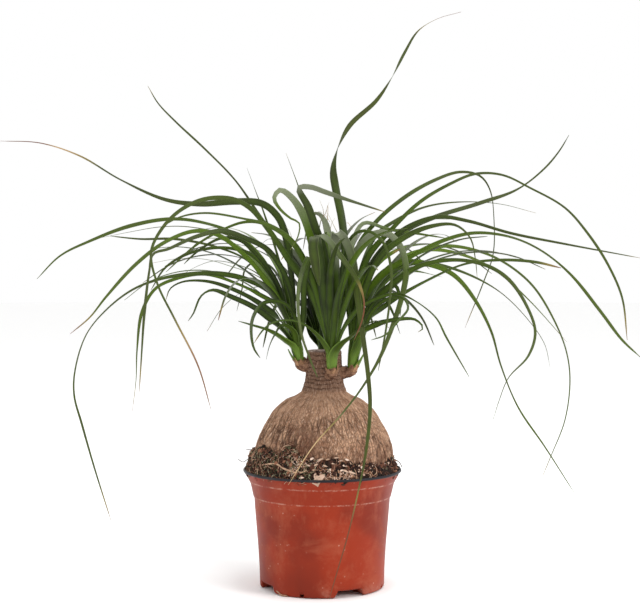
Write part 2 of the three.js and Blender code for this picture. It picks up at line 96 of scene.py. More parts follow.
lens = bpy.data.cameras.new("camera")
lens.lens = 88.9
lens.sensor_width = 36
lens.shift_y = -0.1086
lens.clip_end = 30
camera = new_object("camera", lens)
camera.location = Vector((-1.8, -EYE_DISTANCE, EYE_HEIGHT)) * MM
camera.rotation_euler = (math.radians(90), 0, 0)
bpy.context.scene.camera = camera
print("the camera stands", round(camera.location.length, 2), "m from the pot")

# %% [markdown]
# ## The studio
#
# Catalogue pictures are lit by large soft lamps in a white room. A bright world gives light
# from all sides and keeps the shadows between the leaves open. One broad lamp overhead lights
# the arching leaves from above, and their pale sheen is painted in the leaf finish; one at the
# right front models the pot and the stem, and a weak one at the left fills in. Small lamps
# would give hard shadows, which such pictures never have. The standard view keeps the greens
# as rich as the eye sees them.

# %% Lamps and world
def softbox(name, place, aim, size, power):
    """A round lamp at a place, turned towards its aim. Places and size are in metres."""
    lamp = bpy.data.lights.new(name, "AREA")
    lamp.shape, lamp.size, lamp.energy = "DISK", size, power
    light = new_object(name, lamp)
    light.location = place
    light.rotation_euler = (Vector(aim) - Vector(place)).to_track_quat("-Z", "Y").to_euler()

softbox("top lamp", (0.25, -0.25, 1.8), (0, 0, 0.3), 0.6, 11)
softbox("right lamp", (1.85, -1.1, 1.0), (0, 0, 0.18), 0.8, 19)
softbox("left lamp", (-1.7, -1.1, 0.9), (0, 0, 0.18), 1.0, 1.5)
softbox("back lamp", (-0.4, 1.8, 1.3), (0, 0, 0.25), 1.2, 4)

world = bpy.data.worlds.new("white room")
world.use_nodes = True
sky = world.node_tree.nodes["Background"].inputs
sky["Color"].default_value = (1, 1, 1, 1)
sky["Strength"].default_value = 1.0
bpy.context.scene.world = world
bpy.context.scene.view_settings.view_transform = "Standard"

# %% [markdown]
# ## Small helpers
#
# Both the finishes and the shapes are built from nodes. These helpers add a node and fill or
# link its sockets in one call, so that each tree below reads as a short list of steps. Colours
# are given as they look on a screen, from 0 to 255, and turned into the linear numbers that
# the renderer works with.

# %% Helpers for nodes
def paint(red, green, blue):
    """A screen colour as linear numbers."""
    def linear(value):
        share = value / 255
        return share / 12.92 if share <= 0.04045 else ((share + 0.055) / 1.055) ** 2.4
    return (linear(red), linear(green), linear(blue), 1)

def add(tree, kind, wires=None, **settings):
    """Adds a node, sets it up, and links or fills the sockets that wires names."""
    node = tree.nodes.new(kind)
    for key, value in settings.items():
        setattr(node, key, value)
    for key, value in (wires or {}).items():
        if isinstance(value, bpy.types.NodeSocket):
            tree.links.new(value, node.inputs[key])
        else:
            node.inputs[key].default_value = value
    return node

def made(tree, kind, wires=None, **settings):
    """Adds a node in the same way and gives what comes out of its first socket."""
    return add(tree, kind, wires, **settings).outputs[0]

def split(tree, value):
    return add(tree, "ShaderNodeSeparateXYZ", {0: value}).outputs

def join(tree, x, y, z):
    return made(tree, "ShaderNodeCombineXYZ", {0: x, 1: y, 2: z})

print("a terracotta red is", [round(x, 3) for x in paint(165, 60, 40)])

# %% Helpers for sums
def calc(tree, operation, *values):
    return made(tree, "ShaderNodeMath", dict(enumerate(values)), operation=operation)

def plus(tree, first, second):
    return calc(tree, "ADD", first, second)

def minus(tree, first, second):
    return calc(tree, "SUBTRACT", first, second)

def times(tree, product, *factors):
    """The product of numbers and wires, taken from left to right."""
    for factor in factors:
        product = calc(tree, "MULTIPLY", product, factor)
    return product

def straight(tree, value, gain, base):
    """Value times gain plus base: a straight rise or fall."""
    return calc(tree, "MULTIPLY_ADD", value, gain, base)

def vector(tree, operation, *values):
    node = add(tree, "ShaderNodeVectorMath", dict(enumerate(values)), operation=operation)
    return node.outputs[1 if operation in ("DOT_PRODUCT", "LENGTH") else 0]

def scaled(tree, value, factor):
    return made(tree, "ShaderNodeVectorMath", {0: value, "Scale": factor}, operation="SCALE")

def ease(tree, value, start, end):
    """Rises smoothly from 0 to 1 while value goes from start to end."""
    wires = {"Value": value, "From Min": start, "From Max": end}
    return made(tree, "ShaderNodeMapRange", wires, interpolation_type="SMOOTHSTEP")

def cloud(tree, place, scale, detail=3, rough=0.5, warp=0):
    """Soft noise from 0 to 1. Its scale is in blotches per metre."""
    wires = {"Vector": place, "Scale": scale, "Detail": detail, "Roughness": rough}
    wires["Distortion"] = warp
    return add(tree, "ShaderNodeTexNoise", wires).outputs["Fac"]

print("ready: sums, smooth steps and noise")

# %% Helpers for finishes
def finish_named(name):
    """A new material, its node tree and its surface shader."""
    material = bpy.data.materials.new(name)
    material.use_nodes = True
    tree = material.node_tree
    return material, tree, tree.nodes["Principled BSDF"]

def place_on(tree):
    return add(tree, "ShaderNodeTexCoord").outputs["Object"]

def noted(tree, name, output="Fac"):
    """A number, or with output "Vector" a place, that the piece carries at its points."""
    return add(tree, "ShaderNodeAttribute", attribute_name=name).outputs[output]

def blend(tree, share, first, second):
    """Mixes two colours: share 0 gives the first, 1 the second."""
    wires = {0: share, 6: first, 7: second}
    return add(tree, "ShaderNodeMix", wires, data_type="RGBA").outputs[2]

def cover(tree, colour, share, strength, other):
    """Lays another colour over a colour, at the given strength where share is 1."""
    return blend(tree, times(tree, share, strength), colour, other)

def surface(tree, shader, colour, roughness, specular):
    """Gives the shader its colour, its roughness (a number or a wire) and its gloss."""
    tree.links.new(colour, shader.inputs["Base Color"])
    if isinstance(roughness, bpy.types.NodeSocket):
        tree.links.new(roughness, shader.inputs["Roughness"])
    else:
        shader.inputs["Roughness"].default_value = roughness
    shader.inputs["Specular IOR Level"].default_value = specular

def relief(tree, shader, height, strength, distance):
    """Shades the surface as if a height from 0 to 1 raised it by a distance in metres."""
    wires = {"Height": height, "Strength": strength, "Distance": distance}
    tree.links.new(made(tree, "ShaderNodeBump", wires), shader.inputs["Normal"])

print("ready: colours, gloss and fine relief")

# %% Helpers for trees
VECTOR = "FLOAT_VECTOR"

def new_tree(name, **sizes):
    """An empty Geometry Nodes tree with a named input for each size and for its material."""
    tree = bpy.data.node_groups.new(name, "GeometryNodeTree")
    face = tree.interface
    face.new_socket("Geometry", in_out="INPUT", socket_type="NodeSocketGeometry")
    for key, value in sizes.items():
        kind = "NodeSocketInt" if isinstance(value, int) else "NodeSocketFloat"
        face.new_socket(key, in_out="INPUT", socket_type=kind).default_value = value
    face.new_socket("Material", in_out="INPUT", socket_type="NodeSocketMaterial")
    face.new_socket("Geometry", in_out="OUTPUT", socket_type="NodeSocketGeometry")
    return tree, tree.nodes.new("NodeGroupInput").outputs

def end_tree(tree, geometry, material):
    """Turns instances into real mesh, smooths it, gives it its material and ends the tree."""
    real = made(tree, "GeometryNodeRealizeInstances", {"Geometry": geometry})
    smooth = made(tree, "GeometryNodeSetShadeSmooth", {"Geometry": real})
    done = made(tree, "GeometryNodeSetMaterial", {"Geometry": smooth, "Material": material})
    tree.links.new(done, tree.nodes.new("NodeGroupOutput").inputs[0])
    return tree

print("ready: trees with named inputs")

# %% Helpers for points and sweeps
def note(tree, geometry, name, value, kind="FLOAT"):
    """Keeps a value on the points under a name, for later steps and for the finish."""
    wires = {"Geometry": geometry, "Name": name, "Value": value}
    return made(tree, "GeometryNodeStoreNamedAttribute", wires, data_type=kind)

def recall(tree, name, kind="FLOAT"):
    return made(tree, "GeometryNodeInputNamedAttribute", {"Name": name}, data_type=kind)

def here(tree):
    """The place of each point."""
    return made(tree, "GeometryNodeInputPosition")

def move(tree, geometry, key, value):
    """Sets each point's "Position", or moves it by an "Offset"."""
    return made(tree, "GeometryNodeSetPosition", {"Geometry": geometry, key: value})

def welded(tree, geometry, distance):
    """Makes one point of points that lie closer together than a distance."""
    wires = {"Geometry": geometry, "Distance": distance}
    return made(tree, "GeometryNodeMergeByDistance", wires)

def circle(tree, sides, radius=1.0):
    wires = {"Resolution": sides, "Radius": radius}
    return made(tree, "GeometryNodeCurvePrimitiveCircle", wires)

def swept(tree, line, section, caps=False, **wires):
    """Sweeps a section along a line, with its ends closed or open."""
    wires.update({"Curve": line, "Profile Curve": section, "Fill Caps": caps})
    return made(tree, "GeometryNodeCurveToMesh", wires)

print("ready: notes, moves and sweeps")

# %% Helpers for pieces
def mesh_object(name, points, edges=(), faces=(), notes=None):
    """A mesh from points in millimetres, with numbers or vectors noted on the points."""
    mesh = bpy.data.meshes.new(name)
    mesh.from_pydata([Vector(point) * MM for point in points], edges, faces)
    for key, values in (notes or {}).items():
        values = np.asarray(values, np.float32)
        kind, field = (VECTOR, "vector") if values.ndim == 2 else ("FLOAT", "value")
        mesh.attributes.new(key, kind, "POINT").data.foreach_set(field, values.ravel())
    return new_object(name, mesh)

def grow(name, start, tree, **inputs):
    """Runs a tree on a starting mesh and keeps the result as a plain mesh."""
    modifier = start.modifiers.new("grow", "NODES")
    modifier.node_group = tree
    keys = {item.name: item.identifier for item in tree.interface.items_tree
            if item.in_out == "INPUT"}
    for key, value in inputs.items():
        modifier[keys[key]] = value
    scene_now = bpy.context.evaluated_depsgraph_get()
    result = bpy.data.meshes.new_from_object(start.evaluated_get(scene_now),
                                             preserve_all_data_layers=True,
                                             depsgraph=scene_now)
    start.modifiers.remove(modifier)
    bpy.data.objects.remove(start)
    result.name = name
    return new_object(name, result)

print("ready: meshes from points and from trees")

# %% Helpers that finish a piece
def volume(mesh):
    """The volume inside a closed mesh in cubic millimetres, negative where it is inside out."""
    mesh.calc_loop_triangles()
    corners = np.array([t.vertices for t in mesh.loop_triangles])
    places = np.array([v.co for v in mesh.vertices]) / MM
    a, b, c = (places[corners[:, i]] for i in range(3))
    return float(np.einsum("ij,ij->i", a, np.cross(b, c)).sum() / 6)

def settle(piece, slot, *nodes):
    """Turns a piece's faces outwards, sets it on the plant and hides the measured parts that it
    stands for.
    """
    if volume(piece.data) < 0:
        piece.data.flip_normals()
    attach(piece, "root")
    if nodes:
        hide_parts(*nodes)
    size = " x ".join(f"{side / MM:.0f}" for side in piece.dimensions)
    print(f"{piece.name}: {len(piece.data.loop_triangles)} triangles, {size} mm,",
          f"{volume(piece.data) / 1000:.1f} ml")

print("ready: pieces that face outwards and ride on the plant")

# %% [markdown]
# ## The floor
#
# A plain pale floor catches the plant's soft shadow. It is a wide disc, so that no edge shows
# from any side, and it is declared as part of the stage and not of the plant.

# %% The floor
FLOOR_RADIUS, FLOOR_SIDES = 6000, 96

def pale_floor():
    material, tree, shader = finish_named("pale floor")
    grain = cloud(tree, place_on(tree), 40, 3)
    tone = blend(tree, grain, paint(251, 251, 250), paint(253, 253, 253))
    surface(tree, shader, tone, 0.8, 0.1)
    angles = [math.tau * i / FLOOR_SIDES for i in range(FLOOR_SIDES)]
    ring = [(FLOOR_RADIUS * math.cos(a), FLOOR_RADIUS * math.sin(a), -0.2) for a in angles]
    floor = mesh_object("floor", ring, faces=[tuple(range(FLOOR_SIDES))])
    floor.data.materials.append(material)
    floor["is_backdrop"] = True
    return floor

print("floor radius:", round(pale_floor().dimensions[0] / 2, 1), "m")

# %% [markdown]
# ## Turned forms
#
# The pot and the stem are both round, so both come from one idea: an outline carried round a
# circle. Blender's Spin tool would do it, but then nothing could be changed afterwards. Here
# the outline is a chain of points that carry their radius and height as noted numbers, and a
# tree sweeps it round a circle and sets every point from them. Whatever is not quite round,
# such as a channel or a fissure, is added to the same numbers before the points are set.

# %% A sweep round the axis
def chain(name, outline, **notes):
    """A chain of [radius, height] points with notes. Its length along the way is noted too."""
    steps = [0]
    for a, b in zip(outline, outline[1:]):
        steps.append(steps[-1] + math.dist(a, b))
    points = [(radius, 0, height) for radius, height in outline]
    notes.update(out=[p[0] for p in outline], up=[p[1] for p in outline], arc=steps)
    links = [(i, i + 1) for i in range(len(outline) - 1)]
    return mesh_object(name, points, links, notes=notes)

def sweep_round(tree, outline, sides):
    """Sweeps an outline round a circle, whose points note the direction they lie in."""
    ring = note(tree, circle(tree, sides), "way", here(tree), VECTOR)
    return swept(tree, ring, made(tree, "GeometryNodeMeshToCurve", {"Mesh": outline}))

def rounded(points, steps=6):
    """A smooth line through points: each stretch is a piece of a Catmull-Rom curve."""
    ends = [np.array(points[0]) * 2 - points[1], *map(np.array, points),
            np.array(points[-1]) * 2 - points[-2]]
    line = []
    for a, b, c, d in zip(ends, ends[1:], ends[2:], ends[3:]):
        for t in np.arange(steps) / steps:
            line.append(tuple(0.5 * (2 * b + (c - a) * t + (2 * a - 5 * b + 4 * c - d) * t**2
                                     + (3 * b - a - 3 * c + d) * t**3)))
    return line + [tuple(points[-1])]

print(len(rounded([(0, 0), (1, 0), (2, 1)])), "points on a test line")

# %% [markdown]
# ## The pot's finish
#
# A nursery pot is drawn from a thin sheet that is red outside and black inside, so the red
# ends at the rolled lip. The outside is satin and has been through a greenhouse: it is dusty
# in soft blotches, chalky where its two steps have rubbed, and lightly scratched. All of that
# is a change of colour and gloss and not of shape, so it belongs in the finish. Noise at three
# scales makes the blotches, the specks and the broken chalk lines.

# %% A worn red wall
WALL_RED, DEEP_RED = paint(144, 46, 21), paint(121, 38, 20)
DUST, CHALK, BLACK = paint(172, 100, 74), paint(206, 164, 146), paint(34, 33, 37)
BAND_LOW, BAND_HIGH = 80, 93

def dusty_red(tree, place, blotch):
    """The wall's two reds under blotches of dust, rubbed streaks and pale specks."""
    tone = ease(tree, cloud(tree, place, 22, 2), 0.35, 0.65)
    colour = blend(tree, tone, DEEP_RED, WALL_RED)
    colour = cover(tree, colour, blotch, 0.42, DUST)
    # Fine rubbing runs mostly up and down, so its noise is drawn out upwards.
    drawn = vector(tree, "MULTIPLY", place, (1, 1, 0.22))
    rubbed = ease(tree, cloud(tree, drawn, 620, 3, 0.6, 1.2), 0.66, 0.76)
    worn = times(tree, rubbed, ease(tree, cloud(tree, place, 45, 2), 0.4, 0.7))
    colour = cover(tree, colour, worn, 0.4, DUST)
    specks = made(tree, "ShaderNodeTexVoronoi", {"Vector": place, "Scale": 170})
    speck = times(tree, calc(tree, "LESS_THAN", specks, 0.12), blotch)
    return cover(tree, colour, speck, 0.75, CHALK)

def chalk_line(tree, height, level, width, place, seed):
    """A broken pale line round the pot at a level, in millimetres."""
    away = calc(tree, "ABSOLUTE", minus(tree, height, level * MM))
    near = ease(tree, away, width * MM, 0.1 * MM)
    shifted = vector(tree, "ADD", place, (seed, 0, 0))
    gaps = ease(tree, cloud(tree, shifted, 190, 5, 0.75), 0.4, 0.62)
    return times(tree, near, gaps)

print("the steps are rubbed at", BAND_LOW, "and", BAND_HIGH, "mm")

# %% Red and black plastic
def plastic_finish():
    material, tree, shader = finish_named("red and black plastic")
    place = place_on(tree)
    height = split(tree, place)[2]
    blotch = ease(tree, cloud(tree, place, 34, 6, 0.7, 0.4), 0.46, 0.78)
    colour = dusty_red(tree, place, blotch)
    # A chalky haze hangs under the steps, where water ran down and dried.
    runs = vector(tree, "MULTIPLY", place, (1, 1, 0.4))
    haze = times(tree, ease(tree, height, 44 * MM, 78 * MM),
                 ease(tree, cloud(tree, runs, 75, 5, 0.7), 0.5, 0.72))
    colour = cover(tree, colour, haze, 0.4, DUST)
    # Above the lower step the wall is darker: painted shade.
    shaded = ease(tree, height, (BAND_LOW - 1) * MM, (BAND_LOW + 1) * MM)
    colour = cover(tree, colour, shaded, 0.3, DEEP_RED)
    foot = times(tree, ease(tree, height, 12 * MM, 0), blotch)
    for line in (chalk_line(tree, height, BAND_LOW, 0.9, place, 3),
                 chalk_line(tree, height, BAND_HIGH + 0.6, 1.0, place, 7),
                 times(tree, foot, 0.6)):
        colour = cover(tree, colour, line, 0.5, CHALK)
    # The sheet's black side shows inside and over the lip.
    black = calc(tree, "GREATER_THAN", noted(tree, "black"), 0.5)
    grey = blend(tree, times(tree, blotch, 0.3), BLACK, paint(96, 92, 92))
    surface(tree, shader, blend(tree, black, colour, grey),
            straight(tree, blotch, 0.25, 0.42), 0.14)
    relief(tree, shader, cloud(tree, place, 300, 3), 0.25, 0.3 * MM)
    return material

plastic = plastic_finish()
print("finish:", plastic.name)

# %% [markdown]
# ## The pot
#
# The outline starts under the middle of the base, climbs the wall with its two steps, rolls
# over the lip and goes back down inside. The four drainage channels lift the base and the
# foot of the wall by 6 mm. A boolean cut would leave sharp edges that a formed sheet never
# has, so each point's height is raised instead, fading out up the wall, with a soft edge at
# either side of the channel. The small drains between the channels are real holes, and those
# are cut with a boolean.

# %% The pot's outline
BASE_RADIUS, WALL, CORNER = 54.9, 1.2, 2.5
SIDE = [(57.6, 49), (59.4, 70), (60.0, 78.2), (60.9, 80.0), (61.8, 84), (63.4, 91),
        (64.4, 93.2), (66.6, 97), (67.6, 99.6), (68.2, 100.6)]

def pot_outline():
    """The points of the outline, and a 1 for each that lies on the black side."""
    corner = [(BASE_RADIUS - CORNER + CORNER * math.sin(a), CORNER - CORNER * math.cos(a))
              for a in np.radians([0, 15, 30, 45, 60, 75, 90])]
    wall = [(55.0, 7), (55.2, 14), (55.7, 24), (56.5, 36), *SIDE]
    flat = [(radius, 0) for radius in (0.02, 8, 16, 20, 24, 30, 38, 46)]
    roll = [(68.6, 101.2), (69.4, 101.3), (69.9, 101.9), (69.9, 102.8), (69.4, 103.4),
            (68.7, 103.5), (68.2, 103.0)]
    inner = [(radius - WALL, max(height, WALL)) for radius, height in reversed(wall)]
    bottom = [(radius, WALL) for radius in (50.2, 46, 38, 30, 24, 20, 16, 8, 0.02)]
    outline = flat + corner + wall + roll + inner + bottom
    black = [0] * (len(flat + corner + wall) + 1)
    return outline, black + [1] * (len(outline) - len(black))

outline, black = pot_outline()
print(len(outline), "points from the base over the lip and back")

# %% Channels and drains
CHANNEL_TURN, DRAIN_RADIUS = 26.5, 52

def channel_lift(tree, given, x, y):
    """How high the drainage channels lift the base at a place."""
    arms = []
    for turn in (math.radians(CHANNEL_TURN), math.radians(CHANNEL_TURN + 90)):
        # A channel's two arms lie on one line through the middle.
        sin, cos = math.sin(turn), math.cos(turn)
        length = calc(tree, "ABSOLUTE", minus(tree, times(tree, x, sin), times(tree, y, cos)))
        side = calc(tree, "ABSOLUTE", plus(tree, times(tree, x, cos), times(tree, y, sin)))
        half, start = times(tree, given["channel_width"], 0.5), given["channel_start"]
        across = ease(tree, side, plus(tree, half, 1.8 * MM), minus(tree, half, 1.8 * MM))
        started = ease(tree, length, minus(tree, start, 3 * MM), start)
        arms.append(times(tree, across, started))
    return times(tree, calc(tree, "MAXIMUM", *arms), given["channel_height"])

def drained(tree, form, width):
    """Cuts a small drain through the base's edge between each two channels."""
    for i in range(4):
        angle = math.radians(CHANNEL_TURN - 45 + 90 * i)
        hole = made(tree, "GeometryNodeMeshCube", {"Size": join(tree, 14 * MM, width, 2.6 * MM)})
        out = DRAIN_RADIUS * MM
        wires = {"Geometry": hole, "Rotation": (0, 0, angle),
                 "Translation": (out * math.cos(angle), out * math.sin(angle), 2 * MM)}
        wires = {"Mesh 1": form, "Mesh 2": made(tree, "GeometryNodeTransform", wires)}
        form = made(tree, "GeometryNodeMeshBoolean", wires, operation="DIFFERENCE",
                    solver="EXACT")
    return form

print("channels every 90 degrees from", CHANNEL_TURN, "degrees, drains between them")

# %% The pot's tree
def pot_tree():
    tree, given = new_tree("turned pot", sides=300, channel_height=6 * MM,
                           channel_width=25 * MM, channel_start=20 * MM, drain_width=4 * MM)
    form = sweep_round(tree, given["Geometry"], given["sides"])
    way, up = recall(tree, "way", VECTOR), recall(tree, "up")
    # The lip is never perfectly round once the pot has been handled.
    bent = minus(tree, cloud(tree, way, 1.6, 2), 0.5)
    dented = times(tree, bent, ease(tree, up, 60, 103), 1.6)
    radius = times(tree, plus(tree, recall(tree, "out"), dented), MM)
    height = times(tree, up, MM)
    x, y = (times(tree, part, radius) for part in split(tree, way)[:2])
    fading = ease(tree, height, 20 * MM, 0)
    height = plus(tree, height, times(tree, channel_lift(tree, given, x, y), fading))
    form = move(tree, form, "Position", join(tree, x, y, height))
    form = drained(tree, welded(tree, form, 0.05 * MM), given["drain_width"])
    return end_tree(tree, form, given["Material"])

pot_chain = chain("pot outline", outline, black=black)
settle(grow("pot_shell", pot_chain, pot_tree(), Material=plastic), "pot_plastic", "pot")

# %% [markdown]
# ## Bark
#
# The stem stores water, and as it swells its corky skin splits into fine upright fissures that
# waver and join up in a long-meshed net. The bark's pattern runs along the meridians of the
# bulb and crowds together towards the neck. A pattern in plain space would stay the same size
# everywhere and look like a coat of paint. So the tree that shapes the stem notes a place in
# the bark for each point: the direction round the stem, and the length of the way up. The
# seams between the cells of a cell pattern, drawn out upwards, make the net. The shape and the
# finish both ask the same functions for it, so that the dark lines lie in the real grooves.

# %% Patterns in the bark
MAIN_CELLS, FINE_CELLS, RING_GAP, COLLAR = 215, 500, 3.6, 171.4

def warped(tree, place, scale, amount):
    """The place pushed about by soft noise, so that a pattern laid on it wavers."""
    push = add(tree, "ShaderNodeTexNoise", {"Vector": place, "Scale": scale, "Detail": 2.0})
    push = vector(tree, "SUBTRACT", push.outputs["Color"], (0.5, 0.5, 0.5))
    return vector(tree, "ADD", place, scaled(tree, push, amount))

def seams(tree, place, scale, width):
    """1 on the seams between irregular cells and 0 inside them. Scale: cells per metre."""
    cells = add(tree, "ShaderNodeTexVoronoi", {"Vector": place, "Scale": scale},
                feature="DISTANCE_TO_EDGE")
    return ease(tree, cells.outputs["Distance"], width, 0.0)

def fissures(tree, place):
    """The bark's cracks: main ones that come and go, and fine ones between them."""
    upright = vector(tree, "MULTIPLY", warped(tree, place, 80, 7 * MM), (1, 1, 0.14))
    deep = ease(tree, cloud(tree, place, 42, 2), 0.3, 0.52)
    main = times(tree, seams(tree, upright, MAIN_CELLS, 0.15), deep)
    crossed = vector(tree, "MULTIPLY", warped(tree, place, 240, 4 * MM), (1, 1, 0.4))
    return main, seams(tree, crossed, FINE_CELLS, 0.18)

def rings(tree, place):
    """Level rings round the neck, unevenly spaced and a little wavy."""
    bowed = warped(tree, warped(tree, place, 24, 6 * MM), 120, 3 * MM)
    level = split(tree, bowed)[2]
    uneven = cloud(tree, join(tree, 0, 0, level), 150, 1)
    turn = straight(tree, level, math.pi / (RING_GAP * MM), times(tree, uneven, 5))
    return ease(tree, calc(tree, "ABSOLUTE", calc(tree, "SINE", turn)), 0.42, 0.0)

def collar(tree, height):
    """The crease where the neck stands on the bulb, by the height in metres."""
    away = calc(tree, "ABSOLUTE", minus(tree, height, COLLAR * MM))
    return ease(tree, away, 1.9 * MM, 0.0)

print("cracks about", round(1000 / MAIN_CELLS), "mm apart, rings about", round(RING_GAP), "mm")

# %% Stains and dark lines
TAN, WARM, PALE = paint(188, 148, 119), paint(146, 109, 85), paint(228, 196, 170)
CRACK, NECK_BROWN = paint(52, 34, 26), paint(86, 61, 48)
STAINED_SPOT = (-0.022, -0.054, 0.126)

def stained(tree, colour, spot, height, grain):
    """Damp and old soil leave the bulb's foot darker and redder, most at the left front."""
    foot = times(tree, ease(tree, height, 134 * MM, 116 * MM),
                 ease(tree, cloud(tree, spot, 110, 3), 0.34, 0.58))
    away = vector(tree, "LENGTH", vector(tree, "SUBTRACT", spot, STAINED_SPOT))
    patch = times(tree, ease(tree, away, 40 * MM, 8 * MM),
                  ease(tree, cloud(tree, grain, 110, 4, 0.7), 0.38, 0.6))
    stain = calc(tree, "MAXIMUM", times(tree, foot, 0.7), times(tree, patch, 0.85))
    return blend(tree, stain, colour, paint(98, 62, 46))

def dark_lines(tree, place, spot, height, neck):
    """How dark the cracks, the neck's rings and its crease are, from 0 to 1."""
    main, fine = fissures(tree, place)
    crack = calc(tree, "MAXIMUM", times(tree, main, 0.85), times(tree, fine, 0.6))
    # The skin over the shoulder is younger, and its cracks are fainter.
    shoulder = ease(tree, height, 146 * MM, 164 * MM)
    crack = times(tree, crack, straight(tree, shoulder, -0.45, 1), minus(tree, 1, neck))
    fold = times(tree, rings(tree, place), neck)
    # The crease where the neck stands on the bulb is darkened as painted shade.
    fold = calc(tree, "MAXIMUM", fold, times(tree, collar(tree, height), 0.4))
    broken = ease(tree, cloud(tree, spot, 210, 3), 0.4, 0.6)
    return calc(tree, "MAXIMUM", crack, times(tree, fold, straight(tree, broken, 0.7, 0.12)))

print("the stain lies", round(STAINED_SPOT[2] / MM), "mm up")

# %% The bark's finish
NECK_START, STEM_TOP = 171, 208

def bark_finish():
    material, tree, shader = finish_named("corky bark")
    place, spot = noted(tree, "bark", "Vector"), place_on(tree)
    height = split(tree, spot)[2]
    colour = blend(tree, ease(tree, cloud(tree, place, 90, 5, 0.7), 0.36, 0.62), WARM, TAN)
    grain = vector(tree, "MULTIPLY", place, (1, 1, 0.45))
    flecks = ease(tree, cloud(tree, grain, 620, 3, 0.7), 0.5, 0.66)
    colour = cover(tree, colour, flecks, 0.5, PALE)
    colour = stained(tree, colour, spot, height, grain)
    neck = ease(tree, height, (NECK_START - 1) * MM, (NECK_START + 4) * MM)
    neck_tone = blend(tree, flecks, NECK_BROWN, paint(150, 124, 108))
    colour = cover(tree, colour, neck, 0.85, neck_tone)
    lines = dark_lines(tree, place, spot, height, neck)
    colour = blend(tree, lines, colour, CRACK)
    # The flat cut is paler wood, dried and stained.
    cut = ease(tree, height, (STEM_TOP - 1.5) * MM, (STEM_TOP - 0.4) * MM)
    wood = blend(tree, ease(tree, cloud(tree, spot, 260, 4), 0.4, 0.6),
                 paint(112, 90, 82), paint(176, 158, 148))
    surface(tree, shader, blend(tree, cut, colour, wood), 0.9, 0.12)
    rough = minus(tree, cloud(tree, grain, 900, 3, 0.7), lines)
    relief(tree, shader, rough, 0.9, 0.6 * MM)
    return material

bark = bark_finish()
print("finish:", bark.name)

# %% [markdown]
# ## The swollen stem
#
# The outline follows the measured stem: buried underside, bulb, shoulder, neck and the flat
# cut. Real relief is laid on it at four scales. Soft lumps put the bulb out of round, warts
# roughen it, upright fissures split it, and the neck carries the level wrinkles that its old
# leaves left. Sculpting would do it too, but only formulas can be changed later by a number.

# %% The stem's outline
BULB_RADIUS, NECK_RADIUS, STEM_SHIFT = 61.0, 15.6, 1.8

def stem_outline():
    shares = [(1, 102), (1, 119), (0.97, 128), (0.91, 137), (0.82, 146), (0.73, 155),
              (0.56, 164), (0.41, 168)]
    visible = [(BULB_RADIUS * share, height) for share, height in shares]
    visible += [(NECK_RADIUS * share, height)
                for share, height in [(1.31, 172), (1.13, 179), (1.05, 187), (1, 197)]]
    visible += [(15.3, 205.4)]
    buried = [(0.02, 46), (25.3, 49), (45.2, 61), (56.1, 80), (59.4, 92)]
    cut = [(15.0, 207), (14.4, 207.8), (13.4, 208), (11, 207.8), (8, 208), (5, 207.7),
           (2.5, 207.9), (0.02, 207.8)]
    return buried + rounded(visible, 14) + cut

print("the stem's outline has", len(stem_outline()), "points")

# %% The stem's tree
def stem_tree():
    tree, given = new_tree("swollen stem", sides=440, lump_depth=1.1 * MM,
                           wart_height=1.1 * MM, fissure_depth=0.9 * MM,
                           fold_depth=1.2 * MM)
    form = sweep_round(tree, given["Geometry"], given["sides"])
    way, up, out = recall(tree, "way", VECTOR), recall(tree, "up"), recall(tree, "out")
    height = times(tree, up, MM)
    climb = join(tree, 0, 0, times(tree, recall(tree, "arc"), MM))
    place = vector(tree, "ADD", scaled(tree, way, BULB_RADIUS * MM), climb)
    form = note(tree, form, "bark", place, VECTOR)
    neck = ease(tree, up, NECK_START - 1, NECK_START + 4)
    main, fine = fissures(tree, place)
    fissure = times(tree, straight(tree, fine, 0.25, main), minus(tree, 1, neck))
    fold = times(tree, rings(tree, place), neck, ease(tree, up, STEM_TOP - 1, STEM_TOP - 4))
    fold = calc(tree, "MAXIMUM", fold, times(tree, collar(tree, height), 0.6))
    lump = minus(tree, cloud(tree, place, 26, 2), 0.5)
    wart = minus(tree, cloud(tree, place, 210, 3, 0.6), 0.5)
    # Close to the axis, where all the meridians meet, the relief fades out.
    radius, held = times(tree, out, MM), ease(tree, out, 4, 15)
    for pattern, depth in ((lump, times(tree, given["lump_depth"], 2)),
                           (wart, given["wart_height"]),
                           (fissure, times(tree, given["fissure_depth"], -1)),
                           (fold, times(tree, given["fold_depth"], -1))):
        radius = plus(tree, radius, times(tree, pattern, depth, held))
    x, y = (times(tree, part, radius) for part in split(tree, way)[:2])
    spot = join(tree, plus(tree, x, STEM_SHIFT * MM), y, height)
    form = welded(tree, move(tree, form, "Position", spot), 0.03 * MM)
    return end_tree(tree, form, given["Material"])

stem_chain = chain("stem outline", stem_outline())
settle(grow("stem", stem_chain, stem_tree(), Material=bark), "bark", "trunk")

# %% [markdown]
# ## The soil's finish
#
# Potting soil is black peat with whatever was stirred into it: brown bark crumbs, white
# perlite, dead roots, a little moss. One finish serves all of them, because each loose bit
# carries a tint of its own, a number from 0 to 1 that picks its colour from a ramp. Separate
# finishes would be as many more to keep in step.

# %% Soil and root finishes
def tinted_finish(name, places, colours, rough=0.95, key="tint"):
    """A finish that picks its colour by each bit's tint, from a ramp of colours at places."""
    material, tree, shader = finish_named(name)
    node = add(tree, "ShaderNodeValToRGB")
    stops = node.color_ramp.elements
    while len(stops) < len(places):
        stops.new(0.5)
    for stop, position, colour in zip(stops, places, colours):
        stop.position = position
        stop.color = paint(*colour)
    mottle = straight(tree, cloud(tree, place_on(tree), 500, 3), 0.24, -0.12)
    tree.links.new(plus(tree, noted(tree, key), mottle), node.inputs[0])
    surface(tree, shader, node.outputs[0], rough, 0.25)
    relief(tree, shader, cloud(tree, place_on(tree), 1200, 3, 0.7), 0.8, 0.3 * MM)
    return material

